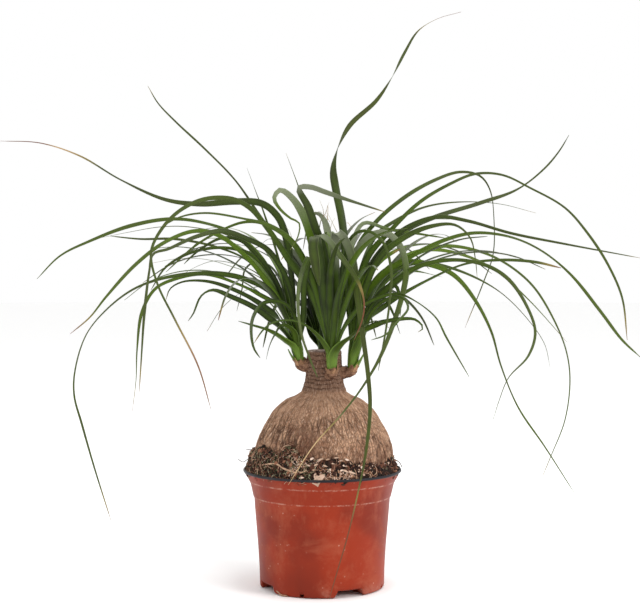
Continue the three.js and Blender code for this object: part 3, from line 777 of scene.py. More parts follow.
peat = tinted_finish("dark peat", (0, 0.45, 0.78, 1),
                     [(18, 12, 9), (42, 26, 20), (84, 51, 38), (142, 98, 75)])
litter = tinted_finish("pale litter", (0, 0.4, 0.75, 1),
                       [(128, 86, 60), (176, 134, 104), (214, 182, 160), (240, 220, 206)])
roots = tinted_finish("dead roots", (0, 0.45, 0.82, 1),
                      [(40, 23, 16), (80, 46, 34), (122, 80, 62), (200, 164, 136)])
moss = tinted_finish("dry moss", (0, 0.5, 0.8, 1),
                     [(22, 26, 14), (58, 62, 38), (112, 110, 80), (176, 166, 138)])
print("finishes:", [m.name for m in (peat, litter, roots, moss)])

# %% [markdown]
# ## The soil bed
#
# The soil is heaped up from the rim against the stem, higher at the left front, where roots
# and moss have bound a mound. The bed is one closed form that fills the pot. Its upper side is
# a height for each direction and distance, the same rule as the measured soil's, roughened
# with noise. A rule like that can also be asked for the height anywhere, which is how the
# roots below are laid on it.

# %% The bed's height
RIM_RADIUS = 70
# The mossy mounds at the left front and the small one at the right: x, y, height and width.
MOUNDS = ((-49, -33, 7.5, 15), (-29, -54, 8, 11), (57, -14, 5.5, 11))

def smooth(value, start, end):
    """The same easing as in the trees, for plain numbers."""
    share = min(max((value - start) / (end - start), 0), 1)
    return share * share * (3 - 2 * share)

def soil_height(x, y):
    """The soil's height at a place in millimetres."""
    radius, angle = math.hypot(x, y), math.atan2(y, x)
    heap = smooth(RIM_RADIUS - radius, 0.8, 9.5)
    rise = 8.5 * math.cos((angle - math.radians(225)) / 2) ** 2
    lumps = 2 * math.sin(7 * angle + radius / 5) * math.sin(4 * angle + 1)
    height = 100.3 + heap * (11 + rise + lumps)
    spot = Vector((x, y, 0))
    height += heap * (2.6 * noise.noise(spot / 11) + 1.4 * noise.noise(spot / 4.5))
    for mound_x, mound_y, high, wide in MOUNDS:
        away = math.hypot(x - mound_x, y - mound_y) / wide
        height += heap * high * math.exp(-away * away)
    return height

print("soil at the left, front and right:",
      [round(soil_height(*spot), 1) for spot in ((-62, 0), (0, -62), (62, 0))])

# %% The bed
BED_SIDES, BED_BOTTOM, BED_MIDDLE, PEAT_TINT = 260, 9, 108, 0.32

def soil_bed():
    """Rings of points from the middle of the underside, up the pot's wall and over the top."""
    under = [(radius, BED_BOTTOM) for radius in (20, 40, 52.6)]
    wall = [(52.9, 14), (53.8, 30), (55.6, 49), (58, 76), (61.4, 91), (65.9, 99.2)]
    top = [(radius, None) for radius in (67.6, 66.9, 66.1, 65.2, 64.2, 63.2, 62.2, 61.2, 60.2,
                                         59.2, 58.2, 57, 55, 50)]
    levels = under + wall + top
    points, bare = [(0, 0, BED_BOTTOM)], [0]
    for radius, height in levels:
        for i in range(BED_SIDES):
            angle = math.tau * i / BED_SIDES
            x, y = radius * math.cos(angle), radius * math.sin(angle)
            points.append((x, y, soil_height(x, y) if height is None else height))
            bare.append(1 if height is None and radius > 56 else 0)
    points.append((0, 0, BED_MIDDLE))
    bare.append(0)
    pairs = [(i, (i + 1) % BED_SIDES) for i in range(BED_SIDES)]
    faces = [(0, 1 + j, 1 + i) for i, j in pairs]
    for ring in range(len(levels) - 1):
        low = 1 + ring * BED_SIDES
        high = low + BED_SIDES
        faces += [(low + i, low + j, high + j, high + i) for i, j in pairs]
    faces += [(high + i, high + j, len(points) - 1) for i, j in pairs]
    notes = {"open": bare, "tint": [PEAT_TINT] * len(points)}
    piece = mesh_object("soil_bed", points, faces=faces, notes=notes)
    piece.data.shade_smooth()
    piece.data.materials.append(peat)
    return piece

bed = soil_bed()
settle(bed, "potting_soil", "soil")

# %% [markdown]
# ## Loose bits
#
# Crumbs, chips, perlite and moss are the same job: scatter points over the open soil, put a
# small irregular form on each, turn and size it at random, and give it its tint. That is what
# Geometry Nodes are best at, and one tree does it for every kind, with the numbers as named
# inputs and a fixed seed. The small form has 20 faces, or 80 for the big crumbs, so that
# thousands of them stay light. A slow noise thins them out in patches, because an even
# sprinkling looks like sugar.

# %% Helpers for scattering
def random_vector(tree, low, high, seed):
    wires = {0: low, 1: high, "Seed": seed}
    return made(tree, "FunctionNodeRandomValue", wires, data_type=VECTOR)

def leftward(tree, given):
    """1 at the left, falling to the left share at the right."""
    left = ease(tree, split(tree, here(tree))[0], 12 * MM, -34 * MM)
    return plus(tree, left, times(tree, given["left_share"], minus(tree, 1, left)))

def spread(tree, given, density):
    """Points over the open soil, and the turn that lays a thing flat on each."""
    wires = {"Mesh": given["Geometry"], "Selection": recall(tree, "open"),
             "Density": times(tree, density, given["per_square_metre"]), "Seed": given["seed"]}
    found = add(tree, "GeometryNodeDistributePointsOnFaces", wires).outputs
    return found["Points"], found["Rotation"]

def end_scatter(tree, given, wires):
    """Puts the things on the points, gives each a tint by chance and ends the tree."""
    bits = made(tree, "GeometryNodeInstanceOnPoints", wires)
    tint = add(tree, "FunctionNodeRandomValue", {2: 0.0, 3: 1.0, "Seed": given["seed"]})
    wires = {"Geometry": bits, "Name": "tint", "Value": tint.outputs[1]}
    bits = made(tree, "GeometryNodeStoreNamedAttribute", wires, domain="INSTANCE")
    return end_tree(tree, bits, given["Material"])

print("ready: helpers for scattering")

# %% A tree that scatters crumbs
FRONT_SPOT = (4 * MM, -62 * MM, 112 * MM)

def scatter_tree(name, detail):
    tree, given = new_tree(name, per_square_metre=600000.0, smallest=0.5 * MM,
                           largest=1.6 * MM, flatness=0.7, patch_size=14 * MM, patchiness=0.5,
                           left_share=1.0, front_gain=0.0, seed=1)
    # Patches: where the slow noise is low, fewer bits fall.
    shifted = vector(tree, "ADD", here(tree), join(tree, given["seed"], 0, 0))
    slow = cloud(tree, shifted, calc(tree, "DIVIDE", 1, given["patch_size"]), 1)
    patch = ease(tree, slow, straight(tree, given["patchiness"], 0.3, 0.3), 0.62)
    # Some kinds gather round one spot: here, in front of the stem.
    away = vector(tree, "LENGTH", vector(tree, "SUBTRACT", here(tree), FRONT_SPOT))
    front = straight(tree, ease(tree, away, 44 * MM, 12 * MM), given["front_gain"], 1)
    points, _ = spread(tree, given, times(tree, patch, leftward(tree, given), front))
    ball = made(tree, "GeometryNodeMeshIcoSphere", {"Radius": 1.0, "Subdivisions": detail})
    dent = straight(tree, cloud(tree, here(tree), 0.9, 2), 1.5, 0.25)
    crumb = move(tree, ball, "Position", scaled(tree, here(tree), dent))
    low, high = (join(tree, size, size, times(tree, size, given["flatness"]))
                 for size in (given["smallest"], given["largest"]))
    turn = random_vector(tree, (0, 0, 0), (math.tau,) * 3, given["seed"])
    wires = {"Points": points, "Instance": crumb, "Rotation": turn,
             "Scale": random_vector(tree, low, high, given["seed"])}
    return end_scatter(tree, given, wires)

fine_crumbs = scatter_tree("scattered crumbs", 1)
big_crumbs = scatter_tree("scattered big crumbs", 2)
print("trees:", fine_crumbs.name, "and", big_crumbs.name)

# %% Crumbs, chips, perlite and moss
def scatter(name, tree, finish, **sizes):
    """Grows one kind of bit on a copy of the bed."""
    start = new_object("bed copy", bed.data.copy())
    settle(grow(name, start, tree, Material=finish, **sizes), "potting_soil")

scatter("peat_crumbs", fine_crumbs, peat, per_square_metre=1000000.0, largest=1.4 * MM, seed=3)
scatter("bark_crumbs", big_crumbs, peat, per_square_metre=75000.0, smallest=1.1 * MM,
        largest=2.6 * MM, seed=11)
scatter("pale_chips", fine_crumbs, litter, per_square_metre=170000.0, smallest=0.3 * MM,
        largest=1.5 * MM, flatness=0.4, patchiness=0.7, front_gain=9.0, seed=23)
scatter("moss_tufts", fine_crumbs, moss, per_square_metre=420000.0, smallest=0.4 * MM,
        largest=1.2 * MM, left_share=0.08, patchiness=0.4, seed=31)

# %% [markdown]
# ## Dead roots and fibres
#
# Short dead roots lie over the soil in every direction, thickest on the mound. Each is a bent
# thread, and a thread is a curve with a small section swept along it. Three sides are enough
# for something a quarter of a millimetre thick. The tree bends three different threads and
# lets chance pick one for each point, laid flat on the soil and tipped a little.

# %% A tree that lays fibres
def bent_thread(tree, bend, lift, thickness):
    """A thread one unit long, bent sideways and lifted in its middle, with three sides."""
    wires = {"Resolution": 7, "Start": (-0.5, 0, 0), "Middle": (0.1, bend, lift),
             "End": (0.5, 0.1 * bend, 0)}
    line = made(tree, "GeometryNodeCurveQuadraticBezier", wires)
    return swept(tree, line, circle(tree, 3, thickness), caps=True)

def fibre_tree():
    tree, given = new_tree("laid fibres", per_square_metre=170000.0, shortest=3 * MM,
                           longest=10 * MM, slenderness=0.026, left_share=0.45, tip_up=0.35,
                           seed=5)
    points, lying = spread(tree, given, leftward(tree, given))
    threads = add(tree, "GeometryNodeJoinGeometry")
    for bend, lift in ((0.7, 0.2), (-0.45, 0.1), (0.3, 0.4)):
        thread = bent_thread(tree, bend, lift, given["slenderness"])
        one = made(tree, "GeometryNodeGeometryToInstance", {"Geometry": thread})
        tree.links.new(one, threads.inputs[0])
    tip = given["tip_up"]
    down = times(tree, tip, -1)
    turn = random_vector(tree, join(tree, down, down, 0.0), join(tree, tip, tip, math.tau),
                         given["seed"])
    turn = made(tree, "FunctionNodeEulerToRotation", {0: turn})
    laid = made(tree, "FunctionNodeRotateRotation", {0: lying, 1: turn}, rotation_space="LOCAL")
    wires = {2: given["shortest"], 3: given["longest"], "Seed": given["seed"]}
    size = add(tree, "FunctionNodeRandomValue", wires).outputs[1]
    wires = {"Points": points, "Instance": threads.outputs[0], "Pick Instance": True,
             "Rotation": laid, "Scale": join(tree, size, size, size)}
    return end_scatter(tree, given, wires)

fibres = fibre_tree()
scatter("dead_fibres", fibres, roots)
scatter("moss_threads", fibres, moss, per_square_metre=260000.0, shortest=2 * MM,
        longest=5.5 * MM, slenderness=0.05, left_share=0.08, tip_up=0.9, seed=9)

# %% [markdown]
# ## The leaf's finish
#
# A ponytail palm's leaf is a tough, satin strap. It is pale where it clasps the shoot, deep
# green along its arch, and it dies back brown from the tip. Fine veins run along it. All of
# these follow the leaf and not the room, so the finish reads what each point of the leaf
# knows: how far along it lies, how far across, on which side, and the leaf's own numbers: its
# tone, whose dark end partly paints shade, the place where it turns brown, and a pale share,
# which paints a sheen on some arches and gives the tan of some dry tips. Painted sheen also
# greys the parts that face up, and painted shade darkens the sides of the leaves deep in a head.

# %% The zones of a leaf
def leaf_zones(tree, climbed, tone, off_middle, deep, fresh, pale):
    """The green by the way up the leaf, from a pale foot to a weathered arch."""
    mottle = ease(tree, cloud(tree, place_on(tree), 60, 3), 0.3, 0.7)
    # The middle of the strap is fresher than its sides.
    mix = straight(tree, mottle, 0.2, tone)
    mix = straight(tree, ease(tree, off_middle, 0.75, 0.1), 0.18, mix)
    colour = blend(tree, mix, deep, fresh)
    # The arch is weathered to a greyer olive. The inner part keeps the dark green, which
    # paints the shade deep in the head.
    weathered = ease(tree, climbed, 90 * MM, 240 * MM)
    colour = cover(tree, colour, weathered, 0.62, paint(77, 81, 47))
    # The root zone: fresh green for some centimetres, and pale lime at the very foot.
    young = ease(tree, climbed, 48 * MM, 14 * MM)
    young = times(tree, young, straight(tree, tone, 0.6, 0.12))
    colour = blend(tree, young, colour, fresh)
    foot = ease(tree, climbed, 21 * MM, 3 * MM)
    foot = times(tree, foot, straight(tree, tone, 0.4, 0.42))
    return blend(tree, foot, colour, pale)

def leaf_sides(tree, colour, climbed, off_middle, pale):
    """Sets a leaf's sides off from its middle, with painted shade deep in the head, and its
    underside from its face.
    """
    inner = ease(tree, climbed, 140 * MM, 60 * MM)
    edge = ease(tree, off_middle, 0.84, 0.97)
    edge = times(tree, edge, minus(tree, 1, inner))
    colour = cover(tree, colour, edge, 0.5, paint(112, 130, 70))
    # Deep in the head the sides of a leaf lie under its neighbours, and painted shade darkens them
    # there.
    painted_crevice_shade = times(tree, ease(tree, off_middle, 0.4, 1), inner,
                   ease(tree, climbed, 12 * MM, 45 * MM))
    colour = cover(tree, colour, painted_crevice_shade, 0.7, paint(13, 18, 3))
    # At its foot each leaf has a broad pale margin, which sets it off from the next.
    hem = times(tree, ease(tree, off_middle, 0.8, 0.95), ease(tree, climbed, 62 * MM, 30 * MM))
    colour = cover(tree, colour, hem, 0.6, pale)
    under = ease(tree, noted(tree, "skin"), 0.1, -0.3)
    return cover(tree, colour, under, 0.25, paint(62, 76, 46))

print("a leaf is palest up to 21 mm and fully weathered from 240 mm")

# %% Leaf greens
def leaf_finish(name, deep, fresh, pale):
    material, tree, shader = finish_named(name)
    along, across, climbed, tone, sheen_and_dry_tan = (
        noted(tree, key) for key in ("along", "across", "climbed", "tone", "pale"))
    off_middle = calc(tree, "ABSOLUTE", across)
    colour = leaf_zones(tree, climbed, tone, off_middle, deep, fresh, pale)
    # Veins lie side by side across the strap.
    vein = calc(tree, "SINE", times(tree, across, 26))
    drawn = vector(tree, "MULTIPLY", join(tree, along, across, tone), (14, 9, 40))
    streak = minus(tree, cloud(tree, drawn, 1, 3), 0.5)
    light = plus(tree, 1, straight(tree, vein, 0.08, times(tree, streak, 0.95)))
    colour = vector(tree, "MULTIPLY", colour, join(tree, light, light, light))
    colour = leaf_sides(tree, colour, climbed, off_middle, pale)
    # A painted sheen greys the upper skin where it faces up, as light from above would, and the
    # pale marks lay more painted sheen on some arches.
    facing = split(tree, add(tree, "ShaderNodeNewGeometry").outputs["Normal"])[2]
    painted_sheen = straight(tree, ease(tree, facing, 0.45, 0.95), 0.2, sheen_and_dry_tan)
    colour = blend(tree, painted_sheen, colour, paint(133, 138, 117))
    # The tip dries from yellow through tan to brown.
    withered = straight(tree, streak, 0.06, minus(tree, along, noted(tree, "dry")))
    yellow = ease(tree, withered, -0.035, 0.012)
    colour = blend(tree, yellow, colour, paint(128, 114, 66))
    # In the dry zone the same pale marks give the real tan of a dried tip.
    dead = blend(tree, sheen_and_dry_tan, paint(110, 70, 50), paint(188, 160, 120))
    colour = blend(tree, ease(tree, withered, 0.0, 0.07), colour, dead)
    surface(tree, shader, colour, straight(tree, yellow, 0.3, 0.36), 0.11)
    relief(tree, shader, straight(tree, vein, 0.5, 0.5), 0.35, 0.12 * MM)
    return material

# The deep green is darker than the leaves' own green, to paint the shade deep in the heads.
leaf_green = leaf_finish("satin green leaf", paint(19, 27, 2), paint(84, 112, 6),
                         paint(132, 166, 66))
# The back head gets a darker copy of the finish, which paints the shade that it stands in.
shade_green = leaf_finish("shaded green leaf", paint(20, 29, 5), paint(40, 56, 10),
                          paint(100, 128, 50))
print("finishes:", leaf_green.name, "and", shade_green.name)

# %% [markdown]
# ## Where the leaves run
#
# No two leaves of this plant are alike, so no rule places them. Each leaf that the photograph
# shows was followed, and its route is written down as the columns and rows that it passes,
# from root to tip. A depth for the root and one for the tip put the route on its lines of
# sight, which makes it a line in space. Leaves that the photograph hides, mostly behind,
# spring from their head by a heading, a length and two slopes instead.

# %% The left head
def count(head):
    print(head["name"] + ":", len(head["leaves"]), "traced and", len(head["sprung"]), "sprung")

# A leaf is its width, turn, reach in depth and route. A sprung one is its width, turn,
# heading, length and two slopes.
LEFT = dict(name="head_left", foot=[300, 361], crown=[291, 318], depth=-3, radius=7.5)
LEFT["leaves"] = [
    [7.5, 50, 26, [[300, 352], [293, 305], [290, 265], [286, 237], [278, 217], [262, 203.5],
     [235, 201.5], [200, 204], [165, 199.5], [120, 179.5], [80, 156], [40, 143], [0, 141]]],
    [6.5, 45, -80, [[297, 350], [280, 304], [258, 270], [240, 251], [218, 235], [195, 231],
     [165, 242], [135, 265], [105, 298], [90, 317], [70, 334]]],
    [7, 40, 95, [[296, 348], [275, 285], [255, 252], [232, 233], [200, 222], [170, 219],
     [130, 226], [90, 241], [60, 256], [37, 279]]],
    [5, 45, -150, [[298, 345], [291, 292], [270, 252], [245, 238], [222, 231], [195, 237],
     [168, 249], [153, 254], [149, 272], [144, 315], [141, 360], [139, 392]]],
    [4, 35, 140, [[296, 345], [275, 288], [250, 262], [220, 248], [175, 239], [140, 239],
     [110, 236]]],
    [3.4, 35, 170, [[294, 340], [265, 262], [235, 238], [190, 227], [160, 227], [130, 232],
     [100, 238]]],
    [5, 45, -25, [[297, 346], [278, 285], [258, 256], [240, 240], [222, 238], [205, 246],
     [192, 256], [184, 264]]],
    [4, 40, 25, [[296, 344], [275, 282], [252, 255], [235, 249], [212, 248], [185, 255],
     [165, 268], [151, 290]]],
    [5, 50, -115, [[297, 350], [275, 297], [250, 281], [222, 274], [190, 274], [160, 279],
     [132, 290], [105, 311], [86, 335], [75, 370], [74, 395], [82, 425], [94, 467], [111, 521]]],
    [5, 40, -20, [[297, 350], [280, 308], [262, 296], [240, 285], [205, 274], [175, 279],
     [155, 289], [142, 312], [137, 350], [136, 380], [132, 413]]],
    [7, 40, 70, [[298, 350], [285, 327], [262, 305], [230, 288], [205, 281], [182, 282],
     [170, 289], [166, 300]]],
    [7, 45, -60, [[297, 354], [285, 334], [260, 311], [232, 297], [212, 290], [201, 296],
     [193, 314], [188, 321]]],
    [5, 40, -35, [[298, 356], [287, 344], [270, 331], [252, 325], [238, 321]]],
    [5, 20, -100, [[300, 350], [296, 322], [288, 306], [275, 301], [262, 304], [253, 317],
     [251, 332], [254, 349], [260, 358]]],
    [4, 30, -65, [[298, 350], [293, 332], [282, 325], [275, 334], [269, 347], [266, 360]]],
    [3.2, 40, 150, [[297, 345], [284, 290], [270, 266], [255, 262], [245, 270], [242, 290],
     [237, 311]]],
    [6, 10, -130, [[302, 350], [303, 320], [304, 285], [309, 257], [304, 266], [299, 285],
     [298, 310], [302, 337], [309, 357], [317, 377]]],
    [3.2, 40, 120, [[296, 345], [275, 295], [258, 274], [235, 264], [214, 261], [198, 266],
     [183, 274]]],
    [3.2, 40, 180, [[296, 345], [280, 300], [262, 279], [230, 266], [203, 259], [175, 259],
     [153, 263]]],
    [3, 40, 40, [[298, 345], [284, 280], [264, 213], [256, 192], [247, 168]]],
    [5, 30, -5, [[300, 359], [294, 355], [288, 349]]],
]
LEFT["sprung"] = [[7, 10, 115, 200, 82, -10], [6, 0, 140, 230, 78, -30],
                  [6, 15, 165, 190, 76, -45], [7, 20, 195, 170, 80, -10],
                  [6, 0, 235, 190, 74, -50]]
count(LEFT)

# %% The centre head
CENTRE = dict(name="head_centre", foot=[332, 369], crown=[331, 322], depth=-19, radius=8)
CENTRE["leaves"] = [
    [5, 40, 120, [[328, 355], [316, 305], [300, 271], [280, 245], [260, 216], [235, 180],
     [205, 149], [175, 121], [158, 103], [148, 86]]],
    [6, 45, -80, [[328, 355], [312, 295], [290, 262], [268, 229], [250, 208], [232, 199],
     [205, 199], [182, 209], [163, 227], [151, 252], [157, 283], [175, 320], [198, 366],
     [211, 410]]],
    [6, 45, -60, [[329, 355], [314, 285], [293, 243], [270, 226], [240, 218], [205, 213],
     [180, 217], [163, 226]]],
    [4, 40, 56, [[327, 352], [312, 280], [290, 241], [265, 224], [245, 222], [222, 230],
     [195, 246], [166, 272]]],
    [3.4, 40, -60, [[328, 360], [318, 337], [305, 325], [288, 320], [270, 324], [262, 331],
     [254, 343]]],
    [8, 30, -55, [[329, 355], [322, 300], [314, 250], [304, 217], [292, 198], [280, 190],
     [274, 198], [279, 208], [290, 218], [299, 223], [298, 236], [290, 250]]],
    [8, 30, -75, [[330, 355], [328, 300], [323, 250], [316, 230], [308, 207], [299, 188],
     [310, 187], [325, 192], [345, 199], [385, 212]]],
    [3.2, 40, 90, [[329, 350], [322, 255], [308, 218], [299, 188], [286, 153]]],
    [7.5, 55, 30, [[332, 355], [340, 300], [345, 255], [342, 220], [336, 190], [333, 168],
     [338, 147], [350, 125], [376, 101], [391, 79], [405, 52], [418, 31], [437, 19], [461, 12]]],
    [8, 20, 60, [[331, 355], [333, 290], [330, 245], [323, 218], [316, 213], [308, 226],
     [303, 250]]],
    [8.5, 10, 50, [[331, 355], [335, 300], [334, 255], [330, 232], [326, 240], [322, 262]]],
    [7.5, 10, -92, [[332, 355], [337, 300], [335, 250], [337, 232], [345, 240], [353, 262],
     [357, 292], [362, 330], [368, 375], [370, 408], [366, 450], [359, 487], [348, 534],
     [336, 575], [329, 599]]],
    [8.5, 20, -75, [[330, 355], [324, 300], [318, 250], [318, 235], [326, 238], [338, 253],
     [350, 269], [359, 284], [364, 303], [362, 320], [354, 340]]],
    [8.5, 10, -60, [[329, 355], [325, 300], [318, 250], [315, 236], [313, 245], [315, 262],
     [319, 286]]],
    [9, 10, -20, [[330, 355], [328, 300], [326, 262], [325, 232]]],
    [7, 25, -50, [[332, 355], [334, 325], [337, 298], [346, 268]]],
    [6, 40, 44, [[332, 355], [343, 305], [350, 268], [354, 238], [364, 223], [388, 229],
     [420, 234], [445, 238]]],
    [3.5, 30, -60, [[331, 362], [341, 346], [352, 336], [365, 325], [378, 321], [389, 328]]],
    [5, 40, -70, [[333, 356], [345, 327], [358, 309], [378, 298], [398, 294], [415, 301],
     [436, 318], [446, 337], [469, 377]]],
]
CENTRE["sprung"] = [[7, 0, 262, 150, 84, 10], [6, 10, 300, 160, 80, -15], [7, 0, 285, 180, 84, 0]]
count(CENTRE)

# %% The right head
RIGHT = dict(name="head_right", foot=[352, 367], crown=[358, 318], depth=-4, radius=8.5)
RIGHT["leaves"] = [
    [6, 45, 90, [[350, 352], [353, 300], [358, 248], [375, 223], [405, 197], [435, 180],
     [460, 172], [480, 176], [490, 190], [494, 220], [493, 255], [484, 281], [465, 328]]],
    [6.5, 45, -80, [[351, 352], [357, 295], [368, 257], [390, 231], [420, 202], [450, 184],
     [475, 174], [502, 175], [530, 188], [565, 208], [588, 234], [608, 265], [622, 298],
     [627, 340]]],
    [4.5, 40, 140, [[350, 350], [356, 290], [375, 237], [395, 221], [425, 207], [460, 202],
     [500, 204], [536, 213]]],
    [5.5, 45, 84, [[351, 350], [358, 295], [380, 252], [405, 231], [435, 217], [480, 203],
     [518, 189], [545, 168], [560, 150], [569, 135]]],
    [6, 45, -40, [[351, 350], [358, 300], [380, 254], [403, 230], [437, 217], [468, 221],
     [510, 233], [565, 244], [640, 258]]],
    [6.5, 45, -110, [[352, 352], [362, 300], [378, 260], [400, 240], [428, 227], [455, 225],
     [470, 238], [475, 258], [477, 278]]],
    [8, 45, -65, [[353, 354], [360, 312], [380, 277], [410, 257], [445, 240], [475, 233],
     [510, 237], [540, 250], [570, 274], [600, 311], [622, 340], [640, 357]]],
    [5, 40, 110, [[351, 350], [362, 305], [388, 270], [415, 254], [445, 246], [478, 251],
     [505, 263], [532, 285], [552, 316], [566, 350], [570, 380], [565, 420], [551, 456],
     [541, 480]]],
    [4, 35, 165, [[351, 350], [370, 290], [397, 261], [425, 250], [460, 254], [495, 270],
     [530, 301], [567, 342]]],
    [6.5, 45, -150, [[353, 355], [362, 320], [385, 291], [415, 268], [450, 260], [485, 265],
     [508, 279], [526, 305], [535, 332], [528, 356], [508, 378], [499, 400], [493, 419]]],
    [6, 45, -20, [[353, 355], [367, 322], [395, 299], [430, 279], [465, 264], [500, 260],
     [535, 262], [561, 268]]],
    [5.5, 40, 30, [[352, 352], [368, 305], [388, 272], [408, 262], [435, 266], [455, 276],
     [475, 300], [491, 331], [501, 366], [518, 407], [545, 447], [575, 494]]],
    [3.5, 40, 85, [[352, 350], [375, 295], [398, 269], [425, 263], [460, 271], [500, 292],
     [530, 322], [545, 345], [550, 367]]],
    [5, 35, -30, [[353, 352], [370, 308], [385, 288], [395, 285], [400, 300], [400, 316]]],
    [4, 30, -100, [[353, 352], [372, 312], [390, 298], [403, 298], [408, 308], [398, 321],
     [385, 335], [371, 340]]],
    [5.5, 35, -75, [[353, 358], [360, 336], [375, 325], [400, 319], [416, 320], [423, 328],
     [418, 332]]],
    [7.5, 15, -82, [[352, 352], [350, 300], [352, 262], [361, 245], [374, 234], [388, 234],
     [400, 246], [406, 268], [403, 292], [391, 330], [379, 359], [361, 389], [340, 416],
     [314, 445], [288, 485]]],
    [4, 20, -85, [[350, 352], [346, 290], [348, 243], [358, 232], [371, 232], [384, 244],
     [391, 270], [390, 296], [386, 328], [378, 371]]],
    [4, 30, -35, [[353, 352], [366, 315], [382, 297], [391, 309], [400, 334]]],
    [4, 40, 120, [[352, 350], [360, 295], [376, 265], [395, 251], [415, 245], [432, 244]]],
    [3.5, 40, 60, [[352, 352], [376, 295], [395, 275], [413, 271], [442, 277]]],
    [8, 40, -30, [[353, 354], [358, 310], [366, 279], [382, 260], [400, 249]]],
    [6, 30, -6, [[353, 365], [358, 360], [364, 353]]],
]
RIGHT["sprung"] = [[7, 0, 330, 190, 80, -20], [6, 10, 10, 210, 78, -30], [6, 0, 40, 220, 80, -20],
                   [7, 10, 65, 210, 82, -5], [6, 20, 355, 170, 82, 0]]
count(RIGHT)

# %% The back head
BACK = dict(name="head_back", foot=[323, 362], crown=[323, 318], depth=22, radius=7.5)
BACK["leaves"] = [
    [7, 20, 70, [[319, 350], [311, 335], [310, 300], [316, 250], [324, 214], [330, 222]]],
    [5, 20, 90, [[322, 350], [321, 290], [326, 240], [328, 205], [326, 214]]],
    [5, 20, 110, [[326, 350], [330, 290], [340, 240], [347, 222], [353, 230]]],
]
BACK["sprung"] = [[7, 0, 90, 240, 80, -35], [6, 10, 70, 250, 78, -40],
                  [7, -10, 108, 245, 80, -45], [6, 10, 48, 250, 76, -40],
                  [6, 0, 130, 240, 76, -35], [7, 0, 41, 185, 66, -20], [6, 10, 143, 230, 74, -40],
                  [6, 0, 82, 210, 70, -70], [6, 0, 100, 220, 68, -75], [5, 10, 60, 210, 66, -70],
                  [5, -10, 122, 200, 66, -60], [7, 0, 78, 180, 86, 10], [7, 0, 112, 170, 85, 0],
                  [6, 0, 95, 265, 82, -50], [6, 0, 57, 200, 84, -10], [6, 0, 128, 190, 84, -15]]
count(BACK)
HEADS = [LEFT, CENTRE, RIGHT, BACK]

# %% [markdown]
# ## What sets single leaves apart
#
# A few leaves are known by something of their own: one twists once on its way up, some turn
# tan far before their tips, one snaps thin halfway, and some arches carry a painted pale sheen.
# These marks stand apart from the routes, by head and number. A second list tells how fresh
# each leaf's green is and how dark, and its dark end partly paints the shade that a leaf stands
# in. Everything else gets small chance values from a fixed seed.

# %% Marks of single leaves
MARKS = {
    "head_left": {
        0: {"dry": 0.79, "pale": [(0.76, 0), (0.8, 0.9), (0.87, 0.9), (0.9, 0)]},
        1: {"dry": 0.93}, 3: {"dry": 0.95}, 9: {"dry": 0.93},
        16: {"dry": 1.2, "shape": [(0, 1), (0.4, 0.9), (0.6, 0.6), (1, 0.25)]},
    },
    "head_centre": {
        1: {"dry": 0.82, "pale": [(0.8, 0), (0.84, 0.7), (0.9, 0.15), (1, 0.1)]},
        5: {"full": 0.6, "pale": [(0.52, 0), (0.66, 0.6), (0.75, 0.7), (0.79, 0)]},
        6: {"full": 0.6, "pale": [(0.66, 0), (0.69, 0.8), (0.78, 0.5), (0.9, 0.1)]},
        8: {"dry": 0.9, "shape": [(0, 1), (0.46, 0.95), (0.6, 0.62), (0.7, 0.46), (0.82, 0.38),
            (0.9, 0.14), (1, 0.06)], "roll": [(0, 50), (0.3, 85), (0.44, 95), (0.52, 180),
            (0.6, 262), (0.67, 275), (0.74, 350), (0.8, 430), (0.86, 450), (0.92, 540)]},
        9: {"shape": [(0, 1), (0.6, 0.9), (0.74, 0.7), (0.8, 0.35), (1, 0.12)],
            "pale": [(0.55, 0), (0.66, 0.65), (0.85, 0.65), (0.95, 0)]},
        10: {"full": 0.8, "pale": [(0.76, 0), (0.8, 0.35), (0.86, 0)]},
        11: {"dry": 0.8, "pale": [(0.19, 0), (0.23, 0.75), (0.28, 0.6), (0.37, 0)],
             "shape": [(0, 1), (0.32, 1), (0.47, 0.62), (0.62, 0.5), (0.7, 0.4), (0.77, 0.22),
             (1, 0.12)]},
        12: {"dry": 0.8, "pale": [(0.44, 0), (0.5, 0.55), (0.56, 0.3), (0.66, 0)],
             "shape": [(0, 1), (0.48, 0.95), (0.56, 0.7), (0.68, 0.56), (0.78, 0.36),
             (0.84, 0.17), (1, 0.09)], "roll": [(0, 20), (0.4, 10), (0.55, -15), (1, -15)]},
        13: {"full": 0.86, "dry": 1.2, "roll": [(0, 10), (0.7, 0), (1, -10)], "pale": [(0.68, 0),
             (0.72, 0.3), (0.78, 0.05), (1, 0)]}, 14: {"full": 0.6, "dry": 1.2}, 15: {"dry": 1.2},
        16: {"pale": [(0.42, 0), (0.55, 0.75), (0.66, 0.5), (0.78, 0)]},
    },
    "head_right": {
        1: {"dry": 0.96}, 10: {"dry": 0.94},
        16: {"dry": 0.835, "pale": [(0.2, 0), (0.31, 0.7), (0.37, 0.6), (0.46, 0), (0.8, 0),
             (0.88, 1)]},
    },
    "head_back": {
        0: {"dry": 0.9, "pale": [(0.85, 0), (0.93, 0.8)]},
        1: {"dry": 0.86, "pale": [(0.8, 0), (0.88, 0.8)]},
        2: {"dry": 0.9, "pale": [(0.85, 0), (0.93, 0.8)]},
    },
}
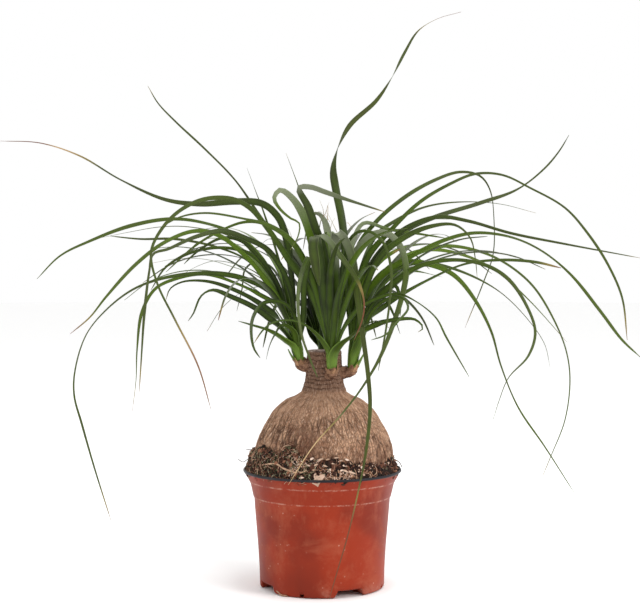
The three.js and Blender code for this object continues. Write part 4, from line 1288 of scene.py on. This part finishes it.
# From 0, dark green with painted shade, to 1, young and fresh, in the order of the routes.
TONES = {
    "head_left": (0, 0.9, 0.9, 0, 0.1, 0.1, 0, 0.2, 0.1, 0.6, 0, 0, 0.3, 0, 0.1, 0, 0.1, 0.3,
                  0.3, 0.2, 1),
    "head_centre": (0, 0.3, 0.4, 0.9, 0.15, 0.9, 0, 0.2, 0, 0.2, 0.7, 0.1, 0.1, 0, 0.5, 0.05,
                    0.8, 0.1, 0.3),
    "head_right": (0.2, 0.4, 0.1, 0, 0, 0.2, 1, 0.9, 1, 0.3, 0.2, 0.9, 0.2, 0.2, 0.2, 0.3,
                   0.3, 0.15, 0.1, 0.9, 0.6, 1, 1),
    "head_back": (0, 0, 0),
}
print(sum(map(len, MARKS.values())), "leaves have marks")

# %% [markdown]
# ## How far each leaf is turned
#
# A strap leaf hardly changes its width, but it turns on its way, so it shows now its face and
# now its edge. The width that it shows is its real width times the cosine of the turn, and so
# the turn can be worked out from the shown width. That was read off for each leaf that stands
# clear, in millimetres, at six places along it. It makes the leaves look alive: a leaf that
# is as wide as its neighbour for a hand's breadth is suddenly a hairline.

# %% Shown widths
SHOWN_AT = (0.2, 0.3, 0.45, 0.6, 0.7, 0.8, 0.9, 1.0)
SHOWN = {
    "head_left": {
        0: (6.5, 6.0, 3.2, 1.4, 1.6, 0.9), 1: (4.0, 4.0, 3.2, 3.2, 2.8, 1.5),
        2: (6.0, 2.5, 3.5, 3.8, 2.8, 1.8), 3: (4.8, 4.5, 2.6, 1.8, 2.5, 1.4),
        4: (3.5, 1.8, 2.2, 2.4, 2.4, 1.8), 5: (2.5, 2.0, 0.9, 0.8, 0.7, 0.4),
        6: (4.0, 4.0, 3.5, 3.5, 2.4, 2.0), 7: (3.5, 3.8, 2.8, 2.8, 2.5, 1.8),
        8: (4.2, 2.0, 0.9, 1.4, 1.9, 1.4), 9: (2.3, 3.2, 2.8, 3.0, 1.4, 0.6),
        10: (6.0, 3.9, 3.7, 2.9, 2.1, 1.5), 11: (7.0, 4.8, 4.4, 3.7, 1.6, 1.7),
        12: (4.2, 3.8, 2.5, 2.2, 2.0, 1.3), 13: (3.2, 3.4, 3.6, 3.0, 2.7, 2.2),
        14: (3.5, 3.5, 1.8, 1.6, 0.9, 0.6), 15: (2.5, 2.2, 2.0, 1.9, 1.8, 1.2),
        17: (2.0, 1.5, 0.8, 0.5, 0.5, 0.3), 18: (1.5, 0.6, 0.5, 0.4, 0.3, 0.3),
        19: (2.5, 2.3, 2.0, 2.0, 1.2, 0.4)},
    "head_centre": {
        0: (4.0, 3.0, 1.6, 1.7, 2.0, 1.6), 1: (5.0, 4.0, 2.8, 1.9, 1.7, 1.4),
        2: (5.5, 5.5, 4.0, 1.8, 1.8, 1.6), 3: (3.5, 3.5, 3.0, 2.3, 2.3, 1.8),
        4: (2.3, 2.1, 2.0, 1.8, 1.5, 1.4), 5: (8.0, 8.0, 7.0, 5.0, 2.6, 1.4),
        6: (7.8, 7.5, 6.8, 4.6, 4.2, 2.2), 7: (2.5, 2.5, 2.2, 1.8, 1.5, 0.6),
        9: (7.0, 7.0, 7.0, 6.5, 3.0, 1.2), 16: (5.0, 4.5, 4.0, 3.0, 3.0, 2.0),
        18: (4.0, 3.0, 0.9, 1.3, 1.7, 1.3)},
    "head_right": {
        0: (4.0, 3.7, 2.3, 0.7, 1.0, 1.1), 1: (4.0, 2.7, 1.7, 1.7, 2.3, 1.9),
        2: (3.5, 3.7, 2.0, 1.6, 0.8, 0.4), 3: (5.5, 4.5, 4.0, 3.6, 1.5, 1.8),
        4: (5.5, 4.0, 2.7, 2.4, 1.9, 1.3), 5: (6.0, 5.5, 4.9, 3.5, 2.0, 1.0),
        6: (4.5, 3.3, 1.8, 1.6, 2.8, 2.7), 7: (3.7, 2.2, 2.0, 1.3, 1.2, 1.0),
        8: (3.8, 3.5, 2.5, 2.0, 1.4, 0.8), 9: (4.5, 3.1, 3.3, 2.4, 2.2, 0.7),
        10: (4.0, 2.3, 1.8, 2.3, 2.7, 2.6), 11: (5.2, 3.7, 1.8, 1.2, 1.8, 1.2),
        12: (3.4, 3.0, 2.0, 0.9, 0.7, 0.6), 13: (4.5, 4.2, 4.0, 3.8, 3.2, 2.0),
        14: (3.8, 3.4, 2.3, 2.0, 1.9, 1.6), 15: (5.5, 5.5, 3.5, 3.5, 2.7, 1.8),
        16: (6.3, 5.4, 3.9, 2.2, 1.4, 0.9), 17: (3.5, 2.8, 2.5, 2.2, 1.9, 1.6),
        18: (3.5, 3.2, 3.0, 2.7, 2.2, 1.0), 19: (3.5, 3.3, 3.0, 3.0, 3.0, 2.0),
        20: (3.3, 3.2, 3.2, 3.2, 2.5, 0.6)},
    "head_back": {
        0: (5.0, 4.5, 4.0, 3.0, 1.5, 0.5), 1: (4.0, 3.5, 2.5, 1.5, 0.8, 0.4),
        2: (4.0, 3.5, 2.5, 1.5, 0.9, 0.5)},
}
print("shown widths for", sum(len(leaves) for leaves in SHOWN.values()), "leaves")

# %% [markdown]
# ## From routes to lines
#
# A leaf's middle line is a curve through its route. Along it, the leaf needs a direction for
# its width and one for its face. At the foot these are set by the shoot: the leaf clasps it
# like a leek's, its width bent round the axis and its face turned in. A few centimetres up it
# opens into a strap. The outer leaves stand furthest from the axis, the steep inner ones
# closest to it.

# %% Lines in space
UP = np.array((0.0, 0.0, 1.0))
# The column of the pot's axis, the row of the eye's level, and a pixel's size in millimetres.
AXIS_COLUMN, EYE_ROW, PIXEL = 322, 235, 0.886

def unit(v):
    return v / np.linalg.norm(v)

def level_way(angle):
    """The level direction at an angle from +X, in radians."""
    return np.array((math.cos(angle), math.sin(angle), 0))

def sighted(spot, depth):
    """The place seen at a column and a row, at a depth behind the pot's axis."""
    scale = PIXEL * (1 + depth / EYE_DISTANCE)
    return np.array(((spot[0] - AXIS_COLUMN) * scale, depth,
                     EYE_HEIGHT - (spot[1] - EYE_ROW) * scale))

def ends_of(head):
    """The places of a head's foot and crown."""
    return (sighted(head[key], head["depth"]) for key in ("foot", "crown"))

def traced(head, reach, route):
    """A traced leaf's points: the depth eases from its root's to its tip's."""
    steps = np.cumsum([0] + [math.dist(a, b) for a, b in zip(route, route[1:])])
    return [sighted(spot, head["depth"] + reach * (0.04 + 0.96 * smooth(step, 0, steps[-1])))
            for spot, step in zip(route, steps)]

def sprung(head, number, heading, length, first, last):
    """A sprung leaf's points: it leaves steeply, bends over evenly and veers aside."""
    foot, crown = ends_of(head)
    way = math.radians(heading)
    point = foot + (crown - foot) * 0.3
    point = point + level_way(way) * head["radius"] / 2
    points, stretches = [point], 7
    for i in range(stretches):
        slope = math.radians(first + (last - first) * (i + 0.5) / stretches)
        step = level_way(way) + UP * math.tan(slope)
        point = point + step * math.cos(slope) * length / stretches
        points.append(point)
        way += math.radians(-26 if number % 2 else 26) / stretches
    return points

print("the pot's axis is seen at column", AXIS_COLUMN)

# %% Smooth lines and the way along them
def fair_line(points, spacing=4.0):
    """A smooth curve through the points, cut into even steps."""
    points = [np.asarray(p, float) for p in points]
    ends = [2 * points[0] - points[1], *points, 2 * points[-1] - points[-2]]
    line = []
    for a, b, c, d in zip(ends, ends[1:], ends[2:], ends[3:]):
        s, t, u = (math.sqrt(math.dist(*pair)) for pair in ((a, b), (b, c), (c, d)))
        start = ((b - a) / s - (c - a) / (s + t) + (c - b) / t) * t
        end = ((c - b) / t - (d - b) / (t + u) + (d - c) / u) * t
        for k in np.arange(16) / 16:
            line.append(b + start * k + (3 * (c - b) - 2 * start - end) * k**2
                        + (2 * (b - c) + start + end) * k**3)
    line = np.array(line + [points[-1]])
    steps = np.concatenate([[0], np.cumsum(np.linalg.norm(np.diff(line, axis=0), axis=1))])
    even = np.linspace(0, steps[-1], max(8, int(steps[-1] / spacing)))
    return np.stack([np.interp(even, steps, line[:, i]) for i in range(3)], axis=1), even

def walk(points, spacing=4.0):
    """Each place on a fair line, with the way ahead, the share and the length gone so far."""
    line, steps = fair_line(points, spacing)
    ahead = [unit(tangent) for tangent in np.gradient(line, axis=0)]
    return list(zip(line, ahead, steps / steps[-1], steps))

first_leaf = traced(LEFT, *LEFT["leaves"][0][2:])
print("the first leaf is", round(walk(first_leaf)[-1][3]), "mm long")

# %% A leaf turned to show a width
def turned_side(place, tangent, side, shown, real, last):
    """Turns a leaf so that it shows a given part of its real width."""
    sight = unit(place - np.array((0, -EYE_DISTANCE, EYE_HEIGHT)))
    wide = np.cross(tangent, sight)
    if np.linalg.norm(wide) < 0.25:
        # Seen end on, a leaf shows no width, so it goes on as it was turned before.
        return side if last is None else unit(last[2] - tangent * (last[2] @ tangent)), last
    wide = unit(wide) * (1 if wide @ (side if last is None else last[0]) >= 0 else -1)
    deep = np.cross(tangent, wide)
    hand = (1 if deep @ side >= 0 else -1) if last is None else last[1]
    turn = math.acos(min(1, shown / real)) * hand
    fitted = wide * math.cos(turn) + deep * math.sin(turn)
    return fitted, (wide, hand, fitted)

def half_width(width, mark, along):
    """Half of a leaf's real width: it narrows from a share of its length, or by its mark."""
    if "shape" in mark:
        return width / 2 * np.interp(along, *zip(*mark["shape"]))
    full = mark.get("full", 0.35)
    taper = max(0, (along - full) / (1 - full)) ** 1.5
    return width / 2 * (0.2 + 0.8 * (1 - taper))

print("a leaf that shows half its width is turned by", round(math.degrees(math.acos(0.5))))

# %% One leaf, ready to sweep
# Lengths up the leaf in millimetres: it clasps the shoot, opens, and widens into a strap.
CLASP, OPENING, WIDENING = 12, (18, 62), (8, 50)
FITTED_FROM, FITTED_BY = 0.18, 0.3

def leaf_rows(points, width, turn, foot, axis, radius, mark, chance, shown=None):
    """A leaf's line with everything that the sweep and the finish need at each point."""
    ahead = points[min(len(points) - 1, max(2, len(points) // 3))] - foot
    out = unit(np.array((ahead[0], ahead[1], 0)))
    rise = unit(points[1] - points[0])[2]
    shell = radius * (0.95 - 0.55 * smooth(rise, 0.55, 1.0)) * chance.uniform(0.9, 1.05)
    start = foot + out * shell * 0.7 + axis * chance.uniform(0, 1.5)
    clasp = foot + axis * CLASP + out * shell
    heading = unit((points[-1] - points[0]) * (1, 1, 0))
    across = np.cross(heading, UP)
    root_side = np.cross(out, UP)
    agree = 1 if root_side @ across >= 0 else -1
    rolls = mark.get("roll", [(0, turn), (0.1, turn), (1, turn + chance.uniform(-27, 27))])
    flip, last, rows = 1 if across[1] >= 0 else -1, None, []
    for place, tangent, along, step in walk([start, clasp, *points[1:]]):
        side = unit(across - tangent * (across @ tangent))
        roll = flip * math.radians(np.interp(along, *zip(*rolls)))
        side = side * math.cos(roll) + np.cross(tangent, side) * math.sin(roll)
        half = half_width(width, mark, along)
        if shown and along > FITTED_FROM:
            seen = np.interp(along, SHOWN_AT, (width, *shown, 0.5 * shown[-1]))
            real = max(seen, 2 * half * (0.75 - 0.4 * along))
            fitted, last = turned_side(place, tangent, side, seen, real, last)
            share = smooth(along, FITTED_FROM, FITTED_BY)
            side = unit(side * (1 - share) + fitted * share)
            half = half * (1 - share) + real / 2 * share
        half *= 1 - 0.6 * smooth(along, 0.97, 1)
        opened, widened = smooth(step, *OPENING), smooth(step, *WIDENING)
        clasped = root_side - tangent * (root_side @ tangent)
        side = unit(unit(clasped) * agree * (1 - opened) + side * opened)
        shell_here = shell * (0.75 + 0.25 * smooth(step, 0, 8))
        sheath = max(shell_here * 1.25, width / 2 * smooth(step, 0, 20))
        half = half * widened + sheath * (1 - widened)
        curl = agree / shell_here * (1 - opened) + opened / (width * 1.9)
        thick = 0.62 + 0.9 * (1 - smooth(step, 5, 60)) - 0.27 * along
        rows.append((place, side, np.cross(side, tangent), half, curl, thick, along, step))
    return rows

print("a leaf is a sheath up to", OPENING[0], "mm and a strap from", OPENING[1], "mm")

# %% A head's leaves as chains
def leaf_mesh(name, leaves):
    """All leaves of a head as chains of points that carry their notes."""
    keys = ("side", "face", "half", "curl", "thick", "along", "climbed", "tone", "dry", "pale")
    points, links, notes = [], [], {key: [] for key in keys}
    for rows, tone, dry, *pale in leaves:
        pale = pale[0] if pale else [(0, 0)]
        links += [(len(points) + i, len(points) + i + 1) for i in range(len(rows) - 1)]
        for place, side, face, half, curl, thick, along, step in rows:
            points.append(place)
            values = (side, face, half * MM, curl / MM, thick * MM, along, step * MM, tone, dry,
                      np.interp(along, *zip(*pale)))
            for key, value in zip(keys, values):
                notes[key].append(value)
    return mesh_object(name, points, links, notes=notes)

print("ready: leaves as chains with notes")

# %% [markdown]
# ## The sweep
#
# A round section is swept along each line, and its points note how far across the leaf and on
# which side they lie. Then each point is set from the leaf's own notes: across by the half
# width, bent by the curl, and up or down by half the thickness. So one small circle becomes a
# clasping sheath at the foot and a thin channelled strap above, without a join between them.

# %% The leaf tree
def leaf_tree():
    tree, given = new_tree("swept leaves", section_points=12, midrib=0.3)
    section = circle(tree, given["section_points"])
    spot = split(tree, here(tree))
    section = note(tree, note(tree, section, "across", spot[0]), "skin", spot[1])
    chains = note(tree, given["Geometry"], "middle", here(tree), VECTOR)
    lines = made(tree, "GeometryNodeMeshToCurve", {"Mesh": chains})
    form = swept(tree, lines, section, caps=True)
    across, curl = recall(tree, "across"), recall(tree, "curl")
    bend = times(tree, across, recall(tree, "half"), curl)
    sideways = calc(tree, "DIVIDE", calc(tree, "SINE", bend), curl)
    lift = calc(tree, "DIVIDE", minus(tree, 1, calc(tree, "COSINE", bend)), curl)
    middle = calc(tree, "LESS_THAN", calc(tree, "ABSOLUTE", across), 0.1)
    groove = minus(tree, 1, times(tree, given["midrib"], middle))
    half_thick = times(tree, recall(tree, "thick"), 0.5, groove)
    lift = straight(tree, recall(tree, "skin"), half_thick, lift)
    place = recall(tree, "middle", VECTOR)
    for key, distance in (("side", sideways), ("face", lift)):
        place = vector(tree, "ADD", place, scaled(tree, recall(tree, key, VECTOR), distance))
    return end_tree(tree, move(tree, form, "Position", place), given["Material"])

leaves_tree = leaf_tree()
FINISH_NOTES = ("along", "across", "skin", "climbed", "tone", "dry", "pale")

def leaf_piece(name, leaves, finish, slot, *nodes):
    """Sweeps leaves into one finished piece and drops the notes that its finish doesn't read."""
    piece = grow(name, leaf_mesh(name + " lines", leaves), leaves_tree, Material=finish)
    for key in [attribute.name for attribute in piece.data.attributes]:
        built_in = key.startswith((".", "position", "sharp", "material"))
        if key not in FINISH_NOTES and not built_in:
            piece.data.attributes.remove(piece.data.attributes[key])
    settle(piece, slot, *nodes)

print("tree:", leaves_tree.name)

# %% Bracts and cores
def bract_rows(points, width, foot, axis):
    """A short keeled leaf at a head's foot, clasping it and ending in a point."""
    out = unit((points[-1] - foot) * (1, 1, 0.001))
    side, rows = np.cross(out, UP), []
    for place, ahead, along, _ in walk([foot + out * 5 - axis * 1, foot + out * 7.5 + axis * 5,
                                        points[-1]], 1.2):
        half = width * 0.75 * (1 - along) ** 0.7 + 0.15
        rows.append((place, side, np.cross(side, ahead), half, 1 / 6, 0.9, along, 30))
    return rows

def core_rows(foot, crown, radius):
    """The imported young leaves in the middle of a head, as one slim body."""
    tangent = unit(crown - foot)
    side, rows = unit(np.cross(tangent, (0, 1, 0))), []
    for place, _, share, step in walk([foot - UP * 2, (foot + crown) / 2, crown], 3):
        half = radius * (0.5 + 0.25 * math.sin(math.pi * share) - 0.3 * share)
        rows.append((place, side, np.cross(side, tangent), half, 0.01, 2 * half, share * 0.3,
                     step))
    return rows

print("bracts:", sum(len(leaf[3]) == 3 for head in HEADS for leaf in head["leaves"]))

# %% The four heads
def head_leaves(head, seed):
    chance = random.Random(seed)
    foot, crown = ends_of(head)
    axis, radius = unit(crown - foot), head["radius"]
    leaves = []
    for number, (width, turn, reach, route) in enumerate(head["leaves"]):
        mark = MARKS[head["name"]].get(number, {})
        points = traced(head, reach, route)
        if len(route) == 3:
            rows = bract_rows(points, width, foot, axis)
        else:
            shown = SHOWN[head["name"]].get(number)
            rows = leaf_rows(points, width, turn, foot, axis, radius, mark, chance, shown)
        dry = mark.get("dry", chance.uniform(0.95, 1.1))
        leaves.append((rows, TONES[head["name"]][number], dry, mark.get("pale", [(0, 0)])))
    for number, (width, turn, *way) in enumerate(head["sprung"]):
        points = sprung(head, number, *way)
        rows = leaf_rows(points, width, turn, foot, axis, radius, {}, chance)
        tone = chance.choice((0, 0, 0.05, 0.1, 0.2, 0.5))
        leaves.append((rows, tone, chance.uniform(0.93, 1.1)))
    leaves.append((core_rows(foot, crown, radius), 0.3, 2))
    return leaves

for seed, head in enumerate(HEADS):
    # The back head's darker finish is painted shade.
    finish = shade_green if head is BACK else leaf_green
    leaf_piece(head["name"] + "_leaves", head_leaves(head, seed), finish, "leaf_green",
               head["name"])

# %% [markdown]
# ## Where the heads sit
#
# Each head grows from a side bud of the old neck, so a short brown stub joins the two. Round
# the foot of each head stand the papery remains of its first leaves. A stub is a line with a
# girth at each point, swept with a circle and roughened along its own normals. The same tree
# makes the loose roots later, with a small girth and no roughness. The papery remains are
# short leaves, so the leaf tree makes them too.

# %% Stubs and roots as swept stalks
def stalk_tree():
    tree, given = new_tree("swept stalks", sides=20, unevenness=0.0, grain=9 * MM)
    lines = made(tree, "GeometryNodeMeshToCurve", {"Mesh": given["Geometry"]})
    form = swept(tree, lines, circle(tree, given["sides"]), caps=True,
                 Scale=recall(tree, "girth"))
    bumps = cloud(tree, here(tree), calc(tree, "DIVIDE", 1, given["grain"]), 4, 0.6)
    rise = times(tree, minus(tree, bumps, 0.5), given["unevenness"])
    push = scaled(tree, made(tree, "GeometryNodeInputNormal"), rise)
    return end_tree(tree, move(tree, form, "Offset", push), given["Material"])

stalks_tree = stalk_tree()

def stalks(name, lines, finish, slot, **inputs):
    """Sweeps each line, a list of (place, girth in millimetres, tint)."""
    points, links, girth, tint = [], [], [], []
    for line in lines:
        links += [(len(points) + i, len(points) + i + 1) for i in range(len(line) - 1)]
        for place, size, shade in line:
            points.append(place)
            girth.append(size * MM)
            tint.append(shade)
    start = mesh_object(name + " lines", points, links, notes={"girth": girth, "tint": tint})
    settle(grow(name, start, stalks_tree, Material=finish, **inputs), slot)

print("tree:", stalks_tree.name)

# %% The stubs
def old_bark_finish():
    material, tree, shader = finish_named("scarred old bark")
    spot = place_on(tree)
    colour = blend(tree, ease(tree, cloud(tree, spot, 220, 5, 0.7), 0.38, 0.62),
                   paint(82, 56, 42), paint(142, 108, 86))
    level = times(tree, split(tree, warped(tree, spot, 60, 5 * MM))[2], 1700)
    line = ease(tree, calc(tree, "ABSOLUTE", calc(tree, "SINE", level)), 0.4, 0)
    surface(tree, shader, cover(tree, colour, line, 0.7, CRACK), 0.9, 0.12)
    relief(tree, shader, cloud(tree, spot, 700, 3, 0.7), 0.8, 0.5 * MM)
    return material

def stub_line(head):
    """A line from inside the neck to just above the head's foot, thinnest at its end."""
    foot, crown = ends_of(head)
    axis = unit(crown - foot)
    inside = np.array((STEM_SHIFT + (foot[0] - STEM_SHIFT) * 0.35, foot[1] * 0.35, foot[2] - 6))
    return [(place, np.interp(along, (0, 0.5, 0.8, 0.93, 1), (6.8, 5.4, 4.8, 4.5, 3)), 0.5)
            for place, _, along, _ in walk([inside, foot - axis * 3, foot + axis * 1], 0.8)]

stalks("shoot_stubs", [stub_line(head) for head in HEADS], old_bark_finish(), "bark", sides=32,
       unevenness=2.4 * MM, grain=4 * MM)

# %% Papery remains round each foot
SCALES_ROUND = 11

def papery_finish():
    material, tree, shader = finish_named("papery old leaf base")
    along, across, tone = (noted(tree, key) for key in ("along", "across", "tone"))
    streak = vector(tree, "MULTIPLY", join(tree, across, along, tone), (9, 1, 30))
    mix = plus(tree, times(tree, tone, 0.6), times(tree, cloud(tree, streak, 1.5, 4), 0.5))
    surface(tree, shader, blend(tree, mix, paint(84, 54, 38), paint(172, 132, 98)), 0.7, 0.2)
    relief(tree, shader, cloud(tree, streak, 4, 3), 0.5, 0.3 * MM)
    return material

def papery_rows(foot, axis, angle, chance):
    """A short broken scale that clasps the foot of a head."""
    out = level_way(angle)
    height, flare = chance.uniform(0, 3.5), chance.uniform(5.6, 7.2)
    spots = [foot - axis * 4 + out * 4.6, foot - axis * 1 + out * 5.3,
             foot + axis * height + out * flare]
    side, rows, width = np.cross(out, UP), [], chance.uniform(1.6, 3.2)
    for place, ahead, along, step in walk(spots, 0.9):
        half = width * (1 - 0.75 * along**2) * (1 + 0.25 * math.sin(9 * along + angle))
        rows.append((place, side, np.cross(side, ahead), half, 1 / 6, 0.5, along, step))
    return rows

chance, scales = random.Random(8), []
for head in HEADS:
    foot, crown = ends_of(head)
    for i in range(SCALES_ROUND):
        angle = math.tau * (i + chance.random()) / SCALES_ROUND
        rows = papery_rows(foot, unit(crown - foot), angle, chance)
        scales.append((rows, chance.random(), 2))
leaf_piece("papery_scales", scales, papery_finish(), "bark")

# %% [markdown]
# ## Single things on the soil
#
# A few threads and one broken flake are large enough to be known one by one: the pale roots
# that cross the mound, dry fibres that stand out over the rim, a strand at the pot's foot.
# Their middle lines are written as columns and rows, like the leaves' routes, and each point
# is let down its line of sight until it meets the soil. So they lie on the bed from all sides.

# %% Roots laid along lines of sight
def on_soil(column, row, lift=1.6):
    """The place where the line of sight through a column and row meets the soil."""
    for depth in np.arange(-72, 30, 0.4):
        place = sighted((column, row), depth)
        if math.hypot(place[0], place[1]) < 68 and place[2] <= soil_height(*place[:2]) + lift:
            return place
    return place

def thread(spots, girth, tint):
    """A root laid on the soil, thinner towards both ends."""
    line, steps = fair_line([on_soil(*spot) for spot in spots], 1.2)
    shape = np.sin(np.pi * np.clip(steps / steps[-1], 0.12, 0.88))
    return [(place, girth * (0.5 + 0.5 * share), tint) for place, share in zip(line, shape)]

def overhanging(spots, tint):
    """A dry fibre that starts on the soil and stands out level over the rim."""
    start = on_soil(*spots[0])
    line, _ = fair_line([start] + [sighted(spot, start[1] + 2) for spot in spots[1:]], 1.2)
    return [(place, 0.35, tint) for place in line]

laid = [
    thread([(262, 465), (268, 464), (276, 464), (283, 468), (290, 471), (298, 473), (306, 471)],
           0.95, 1.0),
    thread([(276, 464), (273, 459), (267, 457)], 0.45, 0.8),
    thread([(284, 449), (290, 451), (296, 456), (300, 462), (303, 468)], 0.5, 0.7),
    thread([(288, 470), (286, 476), (281, 480)], 0.45, 0.85),
    thread([(254, 452), (262, 450), (268, 453), (272, 459)], 0.4, 0.6),
    thread([(250, 461), (256, 468), (265, 472), (272, 471)], 0.4, 0.75),
    thread([(305, 458), (311, 464), (313, 471)], 0.4, 0.9),
    thread([(330, 462), (338, 466), (346, 465), (352, 468)], 0.4, 0.8),
    thread([(370, 463), (378, 461), (386, 465)], 0.45, 0.35),
    thread([(384, 458), (391, 460), (396, 467)], 0.4, 0.3),
    overhanging([(249, 458), (243, 462), (238, 459)], 0.3),
    overhanging([(252, 450), (246, 449)], 0.4),
    overhanging([(394, 459), (399, 462), (402, 467)], 0.35),
]
stalks("laid_roots", laid, roots, "potting_soil", sides=6)

# %% [markdown]
# ## The flake and the strand
#
# A dry papery flake leans on the rim at the front, and a root strand hangs down from the
# channel at the pot's left front. Both are small, but the eye goes to them, because nothing
# else there is so pale. Smaller shreds of the same kind lie in a drift along the bulb's foot.

# %% Flakes and strand
def flake_rows(spots, widths, lift=3):
    """A thin flake that follows the soil through its spots."""
    rows = []
    for place, ahead, along, step in walk([on_soil(*spot, lift=lift) for spot in spots], 0.8):
        side = unit(np.cross(ahead, np.array((0.1, -1, 0.5))))
        half = np.interp(along, (0, 0.3, 0.6, 1), widths)
        rows.append((place, side, np.cross(side, ahead), half, 0.25, 0.6, along, step))
    return rows

pale_papery = tinted_finish("pale dry flake", (0, 1), [(158, 122, 92), (216, 190, 172)], 0.7,
                            "tone")
flakes = [(flake_rows([(315, 485), (318, 480), (325, 475), (327, 474)], (3.2, 3.4, 2.2, 0.6)),
           0.5, 2),
          (flake_rows([(317, 479), (315, 475), (316, 473)], (2.0, 2.2, 1.4, 0.5)), 0.5, 2),
          (flake_rows([(342, 470), (350, 472), (356, 474)], (0.5, 1.2, 1.0, 0.4)), 0.5, 2)]
drift = [(306, 464), (310, 460), (314, 466), (318, 461), (323, 465), (326, 460), (331, 463),
         (334, 458), (338, 462), (342, 465), (345, 459), (349, 462), (353, 458), (299, 478),
         (306, 481), (312, 470), (329, 469), (340, 471)]
for column, row in drift:
    slant, reach = chance.uniform(-2.5, 2.5), chance.uniform(1.4, 2.6)
    spots = [(column, row), (column + reach, row + slant * 0.7), (column + reach * 2, row + slant)]
    widths = (0.3, chance.uniform(0.6, 1.1), chance.uniform(0.4, 0.9), 0.2)
    flakes.append((flake_rows(spots, widths, lift=3.8), chance.uniform(0.1, 1), 2))
leaf_piece("dry_flakes", flakes, pale_papery, "potting_soil")

line, _ = fair_line([(-41.5, -34, 5), (-38.5, -38.5, 3), (-35, -43, 0.9), (-30, -46.5, 0.8)], 1)
stalks("foot_strand", [[(place, 0.7, 0.9) for place in line]], roots, "potting_soil", sides=8)

# %% [markdown]
# ## Frayed threads
#
# Where the centre head's leaves bend over, their skins have split to dry threads. They are as
# thin as hairs, but they stand up alone against the light. Each starts on its leaf, so its
# depth is taken from the leaf's own line, and it thins to nothing.

# %% The frays
frayed = tinted_finish("frayed dry thread", (0, 1), [(128, 118, 92), (188, 180, 156)], 0.8)

def fray(leaf, spot, *way, girth=0.34):
    """A thread from a point of a centre leaf's route through further columns and rows."""
    reach, route = CENTRE["leaves"][leaf][2:]
    depth = traced(CENTRE, reach, route)[spot][1]
    places = [sighted(place, depth) for place in (route[spot], *way)]
    return [(place, girth * (1 - 0.7 * along), 0.3 + 0.7 * along)
            for place, _, along, _ in walk(places, 1.5)]

frays = [fray(9, 3, (323.5, 211), (319.6, 200)), fray(9, 3, (325.4, 213), (329.2, 202), girth=0.3),
         fray(9, 4, (319.5, 211.6), (323, 213.2)), fray(11, 3, (333.7, 225.5), (328, 213.6)),
         fray(2, 2, (289.5, 231.5), (285.9, 226.7)), fray(10, 3, (331.5, 224), (334.8, 218))]
stalks("frayed_threads", frays, frayed, "leaf_green", sides=5)

# %% [markdown]
# ## The size
#
# The finished plant has to stay the size of the measured one, so both boxes are written down
# side by side.

# %% Write both boxes and finish
finished_box = [list(corner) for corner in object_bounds()]
for label, box in (("measured", measured_box), ("finished", finished_box)):
    print(label, [[round(value / MM, 1) for value in corner] for corner in box])
